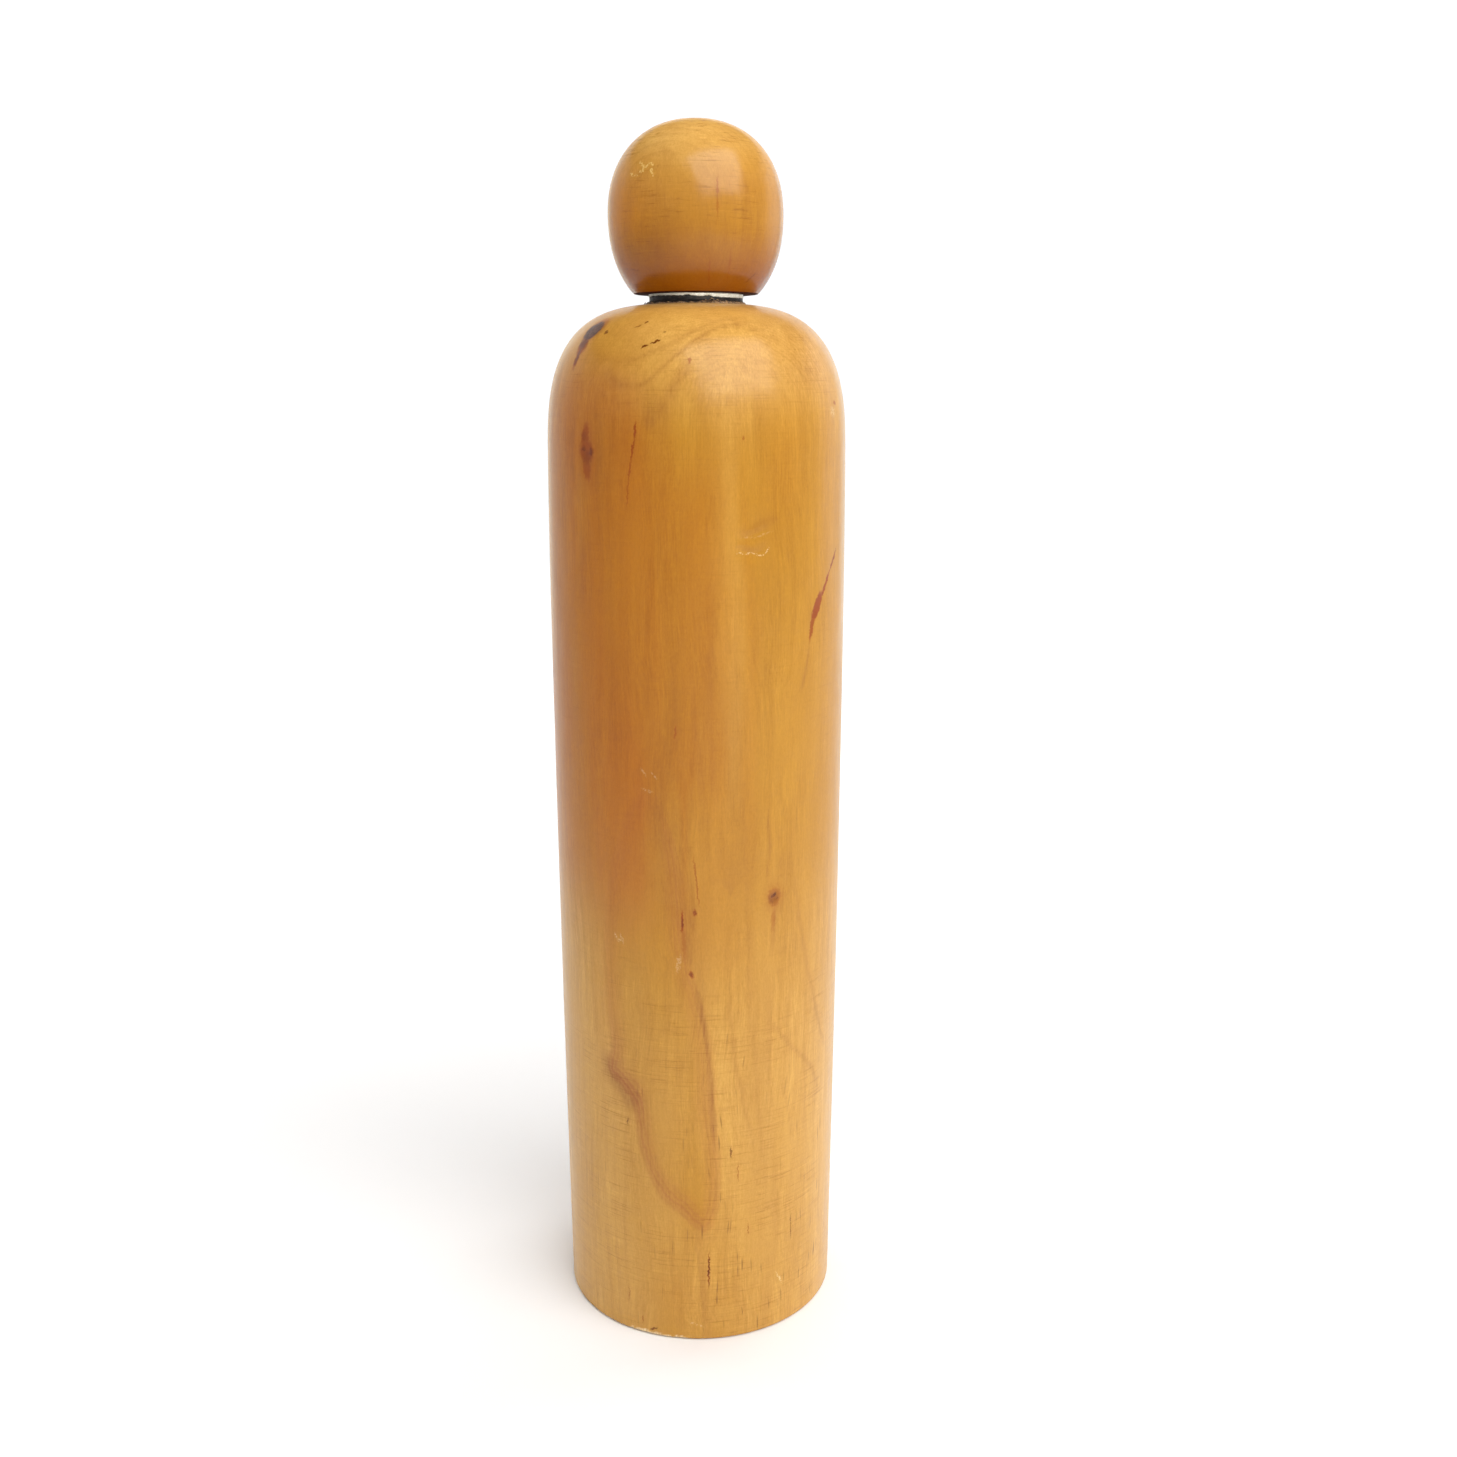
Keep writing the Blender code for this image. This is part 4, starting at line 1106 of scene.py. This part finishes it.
def make_collar():
    """The silver flange: its lower edge is uneven and rolled, its face dented. Its tube lines the neck."""
    low, high = FLANGE_LOW, HEAD_BOTTOM - 0.06
    profile = [
        (6.3, 241.0),
        (8.0, 241.0),
        (8.3, 241.5),
        (8.3, low + 0.10),
        (RING_R - 0.35, low + 0.06),
        (RING_R + 0.02, low),
        (RING_R + 0.20, low + 0.10),
        (RING_R + 0.23, low + 0.22),
        (RING_R + 0.16, low + 0.34),
        (RING_R + 0.12, low + 0.48),
        (RING_R + 0.13, low + 0.62),
        (RING_R + 0.17, low + 0.74),
        (RING_R + 0.13, high - 0.07),
        (RING_R + 0.02, high),
        (6.6, high),
        (6.3, high - 0.3),
    ]
    t = Turned(profile, np.arange(0, 360, 1.0), closed_ring=True)
    noise = Noise3(37)
    c, s = np.cos(t.phi), np.sin(t.phi)
    deg = np.degrees((t.phi + math.pi) % (2 * math.pi) - math.pi)
    rim = (t.r > RING_R - 0.1) * (t.z > low - 0.5)
    t.z = t.z + rim * collar_edge(deg) * np.clip((high - t.z) / (high - low), 0, 1)
    t.r = t.r + rim * 0.055 * noise.fbm(c * 14, s * 14, t.z * 2.3, 3) * smooth(high, high - 0.1, t.z)
    return t.make("neck_collar_silver")


def make_neck_residue():
    """Crumbs of old glue and varnish along the foot of the black ring, thickest at the front right."""
    noise = Noise3(43)
    foot = 260.74
    count = 180
    sections = 7
    start, end = -84.0, 82.0
    points, faces = [], []
    for k in range(count):
        deg = start + (end - start) * k / (count - 1)
        a = math.radians(deg)
        q = np.array([deg * 0.22])
        size = 0.13 + 0.20 * float(np.clip(noise.fbm(q, q * 0, q * 0, 3), -0.5, 1)[0])
        size += 0.16 * float(smooth(12, 30, np.array(deg)) * smooth(78, 60, np.array(deg)))
        size *= float(smooth(0, 0.05, np.array(k / count)) * smooth(0, 0.05, np.array(1 - k / (count - 1))))
        size = max(size, 0.015)
        r = RING_R + 0.80 + 0.14 * float(noise.fbm(q * 2.3 + 7, q * 0, q * 0, 3)[0])
        for j in range(sections):
            b = 2 * math.pi * j / sections
            rr = r + size * math.cos(b) * 1.5
            zz = foot + 0.02 + size * math.sin(b) * (1.0 + 0.4 * math.sin(k * 1.7))
            points.append((rr * math.sin(a) * MM, -rr * math.cos(a) * MM, zz * MM))
    for k in range(count - 1):
        for j in range(sections):
            n = (j + 1) % sections
            p0, p1 = k * sections, (k + 1) * sections
            faces.append((p0 + j, p0 + n, p1 + n, p1 + j))
    faces.append(tuple(range(sections))[::-1])
    last = (count - 1) * sections
    faces.append(tuple(range(last, last + sections)))

    def curl(start_deg, end_deg, out, low, rise, thick, turns):
        """A shaving of glue that stands up from the shoulder between two azimuths."""
        steps, base = 18, len(points)
        for k in range(steps):
            s = k / (steps - 1)
            a = math.radians(start_deg + (end_deg - start_deg) * s)
            arch = math.sin(math.pi * s) ** 0.8
            r = RING_R + out + 0.22 * math.sin(turns * s * 6.3)
            z = low + rise * arch * (0.75 + 0.25 * math.cos(turns * s * 9.0))
            fat = thick * (0.45 + 0.55 * math.sin(math.pi * min(max(s, 0.04), 0.96)))
            for j in range(5):
                b = 2 * math.pi * j / 5
                rr, zz = r + fat * math.cos(b), z + fat * math.sin(b)
                points.append((rr * math.sin(a) * MM, -rr * math.cos(a) * MM, zz * MM))
        for k in range(steps - 1):
            for j in range(5):
                p0, p1, n = base + k * 5, base + (k + 1) * 5, (j + 1) % 5
                faces.append((p0 + j, p0 + n, p1 + n, p1 + j))
        faces.append(tuple(range(base, base + 5))[::-1])
        faces.append(tuple(range(base + (steps - 1) * 5, base + steps * 5)))

    for shaving in (
        (4, 13, 0.55, 260.8, 0.42, 0.13, 1.2), (9, 17, 0.62, 260.7, 0.72, 0.12, 1.7),
        (12, 27, 0.50, 260.8, 0.95, 0.11, 1.3), (16, 24, 0.72, 260.7, 0.50, 0.15, 2.1),
        (20, 34, 0.60, 260.8, 0.60, 0.13, 1.5), (27, 39, 0.66, 260.7, 0.34, 0.15, 1.1),
        (38, 52, 0.60, 260.7, 0.30, 0.13, 1.4), (50, 62, 0.58, 260.7, 0.24, 0.12, 1.9),
        (-22, -14, 0.60, 260.7, 0.24, 0.10, 1.2), (-52, -44, 0.62, 260.7, 0.26, 0.10, 1.6),
        (-66, -58, 0.70, 260.6, 0.50, 0.10, 1.4), (-76, -68, 0.95, 260.5, 0.62, 0.09, 1.1),
        (-86, -78, 1.25, 260.4, 0.70, 0.08, 1.3), (-94, -87, 1.60, 260.3, 0.52, 0.08, 1.8),
        (-100, -92, 1.05, 260.4, 0.66, 0.08, 1.2), (76, 84, 0.95, 260.4, 0.40, 0.08, 1.5),
    ):  # fmt: skip
        curl(*shaving)
    mesh = bpy.data.meshes.new("neck_residue")
    mesh.from_pydata(points, [], faces)
    mesh.validate()
    work = bmesh.new()
    work.from_mesh(mesh)
    bmesh.ops.recalc_face_normals(work, faces=work.faces)
    work.to_mesh(mesh)
    work.free()
    mesh.shade_smooth()
    piece = bpy.data.objects.new("neck_residue", mesh)
    bpy.context.scene.collection.objects.link(piece)
    return piece


FLANGE_LOW = 262.10


# ------------------------------------------------------------------ other materials
def black_material():
    net = Net("neck_black_rubber")
    p = net.p
    dust = net.noise(net.stretch(p, (1.2, 1.2, 2.2)), 1.0, 4.0, 0.65)
    colour = net.mix(net.remap(dust, 0.45, 0.72), srgb(17, 14, 14), srgb(62, 50, 44))
    grit = net.noise(p, 6.0, 3.0, 0.7)
    colour = net.mix(net.mul(net.remap(grit, 0.62, 0.74), 0.55), colour, srgb(120, 102, 84))
    rough = net.remap(dust, 0.3, 0.7, 0.35, 0.7)
    height = net.add(net.mul(dust, 0.8), net.mul(grit, 0.5))
    net.set(Base_Color=colour, Roughness=rough, Normal=net.bump(height, 0.6, 0.0001))
    return net.material


def collar_material():
    net = Net("collar_silver_painted_reflection")
    p = net.p
    px, py, pz = net.parts(p)
    angle = net.math("ARCTAN2", px, net.mul(py, -1.0))
    turning = net.noise(net.join(net.mul(angle, 6.0), 0.0, net.mul(pz, 7.0)), 1.0, 4.0, 0.65)
    blotch = net.noise(p, 0.9, 4.0, 0.6)
    # near-white cream: partly the metal's own pale tone, partly painted reflection of the bright rolled rim
    colour = net.mix(net.remap(blotch, 0.40, 0.68), srgb(253, 251, 240), srgb(228, 224, 206))
    colour = net.mix(net.mul(net.remap(turning, 0.60, 0.72), 0.75), colour, srgb(84, 78, 62))
    rough = net.remap(blotch, 0.3, 0.7, 0.26, 0.5)
    height = net.add(turning, net.mul(blotch, 0.8))
    net.set(Base_Color=colour, Roughness=rough, Normal=net.bump(height, 0.5, 0.00012))
    net.shader.inputs["Metallic"].default_value = 0.12
    return net.material


def residue_material():
    net = Net("neck_old_glue")
    p = net.p
    grain = net.noise(p, 2.6, 4.0, 0.65)
    colour = net.mix(net.remap(grain, 0.40, 0.62), srgb(66, 44, 34), srgb(160, 124, 84))
    # pale flecks: partly bits of pale glue, partly painted glints
    colour = net.mix(net.remap(net.noise(p, 5.0, 2.0, 0.6), 0.60, 0.72), colour, srgb(226, 204, 168))
    net.set(Base_Color=colour, Roughness=net.remap(grain, 0.3, 0.7, 0.3, 0.65), Normal=net.bump(grain, 0.8, 0.0002))
    return net.material


def end_grain_painted_shade_material():
    """Bare end grain, where no varnish was brushed on: dull, and painted dark as the shade under the head."""
    net = Net("head_end_grain_painted_shade")
    p = net.p
    fine = net.noise(net.stretch(p, (2.2, 2.2, 0.2)), 1.0, 4.0, 0.65)
    broad = net.noise(net.stretch(p, (0.35, 0.5, 0.1)), 1.0, 2.0, 0.5)
    # these dark browns are painted shade: the flat underside sits in the head's own shadow
    colour = net.mix(net.remap(broad, 0.35, 0.65), srgb(92, 40, 14), srgb(70, 28, 10))
    colour = net.mix(net.mul(net.remap(fine, 0.5, 0.72), 0.6), colour, srgb(42, 18, 8))
    net.set(Base_Color=colour, Roughness=net.remap(fine, 0.3, 0.7, 0.7, 0.85), Normal=net.bump(fine, 0.5, 0.0001))
    net.shader.inputs["Specular IOR Level"].default_value = 0.1
    return net.material


def dowel_material():
    net = Net("spindle_dowel_wood")
    p = net.p
    fibres = net.noise(net.stretch(p, (2.4, 2.4, 0.06)), 1.0, 4.0, 0.65)
    broad = net.noise(net.stretch(p, (0.3, 0.3, 0.03)), 1.0, 2.0, 0.5)
    colour = net.mix(net.remap(broad, 0.35, 0.65), srgb(206, 176, 128), srgb(186, 152, 102))
    colour = net.mix(net.mul(net.remap(fibres, 0.5, 0.72), 0.5), colour, srgb(146, 108, 66))
    net.set(Base_Color=colour, Roughness=net.remap(fibres, 0.3, 0.7, 0.5, 0.7), Normal=net.bump(fibres, 0.5, 0.0001))
    return net.material


def metal_material(name, light, dark, rough_low, rough_high, pitch):
    net = Net(name)
    p = net.p
    px, py, pz = net.parts(p)
    angle = net.math("ARCTAN2", px, net.mul(py, -1.0))
    radius = net.vec("LENGTH", net.join(px, py, 0.0))
    rings = net.noise(net.join(net.mul(angle, 1.5), net.mul(radius, pitch), net.mul(pz, pitch)), 1.0, 3.0, 0.6)
    cloud = net.noise(p, 0.7, 3.0, 0.6)
    colour = net.mix(net.remap(cloud, 0.35, 0.68), light, dark)
    net.set(
        Base_Color=colour,
        Roughness=net.remap(rings, 0.35, 0.65, rough_low, rough_high),
        Normal=net.bump(net.add(rings, net.mul(cloud, 0.4)), 0.4, 0.00006),
    )
    net.shader.inputs["Metallic"].default_value = 1.0
    return net.material


def nylon_material():
    net = Net("thrust_washer_nylon")
    p = net.p
    cloud = net.noise(p, 0.8, 3.0, 0.6)
    fine = net.noise(p, 7.0, 2.0, 0.6)
    colour = net.mix(net.remap(cloud, 0.35, 0.65), srgb(226, 222, 208), srgb(208, 200, 180))
    net.set(Base_Color=colour, Roughness=net.remap(fine, 0.35, 0.65, 0.38, 0.55), Normal=net.bump(fine, 0.3, 0.00005))
    return net.material


def dress(piece, material):
    piece.data.materials.clear()
    piece.data.materials.append(material)


body = make_body()
dress(body, wood("body_varnished_wood", LOOK, body_radius, BODY_DARK, BODY_RED, BODY_PALE, BODY_KNOT))
head_look = dict(
    LOOK,
    yellow=(0.458, 0.200, 0.022),
    warm=(0.324, 0.095, 0.002),
    brown=(0.560, 0.190, 0.003),
    pale_tone=(0.610, 0.335, 0.080),
    growth=0.35,
    streaks=0.26,
    fibres=0.20,
    lathe=0.40,
    coat_rough=0.20,
    haze=0.05,
    pale=srgb(228, 192, 112),
)
head = make_head()
dress(head, wood("head_varnished_wood", head_look, head_radius, HEAD_DARK, HEAD_RED, HEAD_PALE))
# the flat underside and the bore take the second material, which is painted dark as the shade under the head
head.data.materials.append(end_grain_painted_shade_material())
for face in head.data.polygons:
    if face.center.z < (HEAD_BOTTOM + 0.10) * MM or math.hypot(face.center.x, face.center.y) < 6.6 * MM and face.center.z < 292 * MM:
        face.material_index = 1
ring = make_neck_ring()
dress(ring, black_material())
collar = make_collar()
dress(collar, collar_material())
residue = make_neck_residue()
dress(residue, residue_material())

for piece, node, slot in (
    (body, "body", "body_wood"),
    (ring, "neck_ring", "neck_black"),
    (collar, "neck_collar", "collar_metal"),
):
    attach(piece, "body")
    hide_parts(node)
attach(residue, "body")
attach(head, "head")
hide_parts("head")

carried = {
    "neck_spindle": dowel_material(),
    "thrust_washer": nylon_material(),
    "retaining_washer": metal_material("washer_zinc_steel", srgb(196, 198, 200), srgb(160, 162, 164), 0.25, 0.45, 9.0),
    "retaining_screw": metal_material("screw_yellow_zinc", srgb(206, 186, 128), srgb(170, 150, 100), 0.22, 0.42, 7.0),
}
for node, made in carried.items():
    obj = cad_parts[node]
    for slot in obj.material_slots:
        slot.material = made


# ------------------------------------------------------------------ stage, light, camera
def make_stage():
    """A pale floor that turns up into a low wall all round."""
    profile = [(0, 0)] + [(r, 0) for r in (50, 100, 160, 240, 340, 480, 640, 820, 1000, 1250, 1500)]
    for k in range(1, 13):
        a = math.pi / 2 * k / 12
        profile.append((1500 + 900 * math.sin(a), 900 * (1 - math.cos(a))))
    profile += [(2400, 1250), (2400, 1700)]
    rows = np.array(profile, float)
    cols = 96
    points = [(0, 0, 0)]
    faces = []
    for r, z in rows[1:]:
        for k in range(cols):
            a = 2 * math.pi * k / cols
            points.append((r * math.sin(a) * MM, -r * math.cos(a) * MM, z * MM))
    for k in range(cols):
        faces.append((0, 1 + k, 1 + (k + 1) % cols))
    for i in range(len(rows) - 2):
        for k in range(cols):
            n = (k + 1) % cols
            p0, p1 = 1 + i * cols, 1 + (i + 1) * cols
            faces.append((p0 + k, p1 + k, p1 + n, p0 + n))
    mesh = bpy.data.meshes.new("stage_floor")
    mesh.from_pydata(points, [], faces)
    mesh.shade_smooth()
    floor = bpy.data.objects.new("stage_floor", mesh)
    floor.location = (0, 0, -0.0001)
    bpy.context.scene.collection.objects.link(floor)
    net = Net("stage_paper")
    net.set(Base_Color=(0.90, 0.90, 0.90))
    net.shader.inputs["Roughness"].default_value = 0.9
    net.shader.inputs["Specular IOR Level"].default_value = 0.1
    made = net.material
    mesh.materials.append(made)
    return floor


def area(name, azimuth, elevation, distance, width, height, power, colour=(1, 1, 1), aim=(0, 0, 0.15)):
    """A soft light at an azimuth to the right of the front, aimed at the doll."""
    a, e = math.radians(azimuth), math.radians(elevation)
    aim = Vector(aim)
    place = aim + distance * Vector((math.sin(a) * math.cos(e), -math.cos(a) * math.cos(e), math.sin(e)))
    data = bpy.data.lights.new(name, "AREA")
    data.shape = "RECTANGLE"
    data.size, data.size_y = width, height
    data.energy = power
    data.color = colour
    light = bpy.data.objects.new(name, data)
    light.location = place
    light.rotation_euler = (aim - place).to_track_quat("-Z", "Y").to_euler()
    light.visible_camera = False
    bpy.context.scene.collection.objects.link(light)
    return light


make_stage()
area("key_soft", 36, 46, 1.25, 1.3, 1.1, 17.8, (1.0, 0.985, 0.97))
area("rim_right", 120, 12, 1.1, 0.5, 0.7, 0.6, (1.0, 0.97, 0.96))
# tall strips behind the doll that only the varnish picks up, as a pale line down each side
area("edge_left", -156, 4, 1.0, 0.26, 0.7, 0.26, (1.0, 1.0, 0.62)).visible_diffuse = False
area("edge_right", 156, 4, 1.0, 0.26, 0.7, 0.34, (0.45, 0.85, 1.0)).visible_diffuse = False
# these two only fill: their edges must not show in the varnish
area("overhead", 0, 84, 1.5, 2.2, 2.2, 9.3).visible_glossy = False
area("backdrop", 0, 40, 1.9, 2.6, 0.5, 29.0, aim=(0, 2.0, 0.35)).visible_glossy = False
# a low strip that reaches under the head to the narrow neck, and lights nothing else
neck_strip = area("neck_strip", 22, 4, 0.6, 0.5, 0.06, 2.7, (1.0, 1.0, 0.95), aim=(0, 0, 0.2625))
neck_group = bpy.data.collections.new("lit_by_neck_strip")
for piece in (collar, ring, residue):
    neck_group.objects.link(piece)
neck_strip.light_linking.receiver_collection = neck_group

world = bpy.data.worlds.new("studio")
world.use_nodes = True
world.node_tree.nodes["Background"].inputs["Color"].default_value = (1.0, 1.0, 1.0, 1)
world.node_tree.nodes["Background"].inputs["Strength"].default_value = 0.05
bpy.context.scene.world = world

camera_data = bpy.data.cameras.new("camera")
camera_data.sensor_width = 36.0
camera_data.lens = 37.18
camera_data.clip_start, camera_data.clip_end = 0.01, 20.0
camera = bpy.data.objects.new("camera", camera_data)
camera.location = (0.00788, -0.37979, 0.24451)
camera.rotation_euler = Euler((math.radians(90 - 13.29), 0, 0))
bpy.context.scene.collection.objects.link(camera)
bpy.context.scene.camera = camera
bpy.context.scene.view_settings.view_transform = "Standard"
bpy.context.scene.view_settings.look = "None"
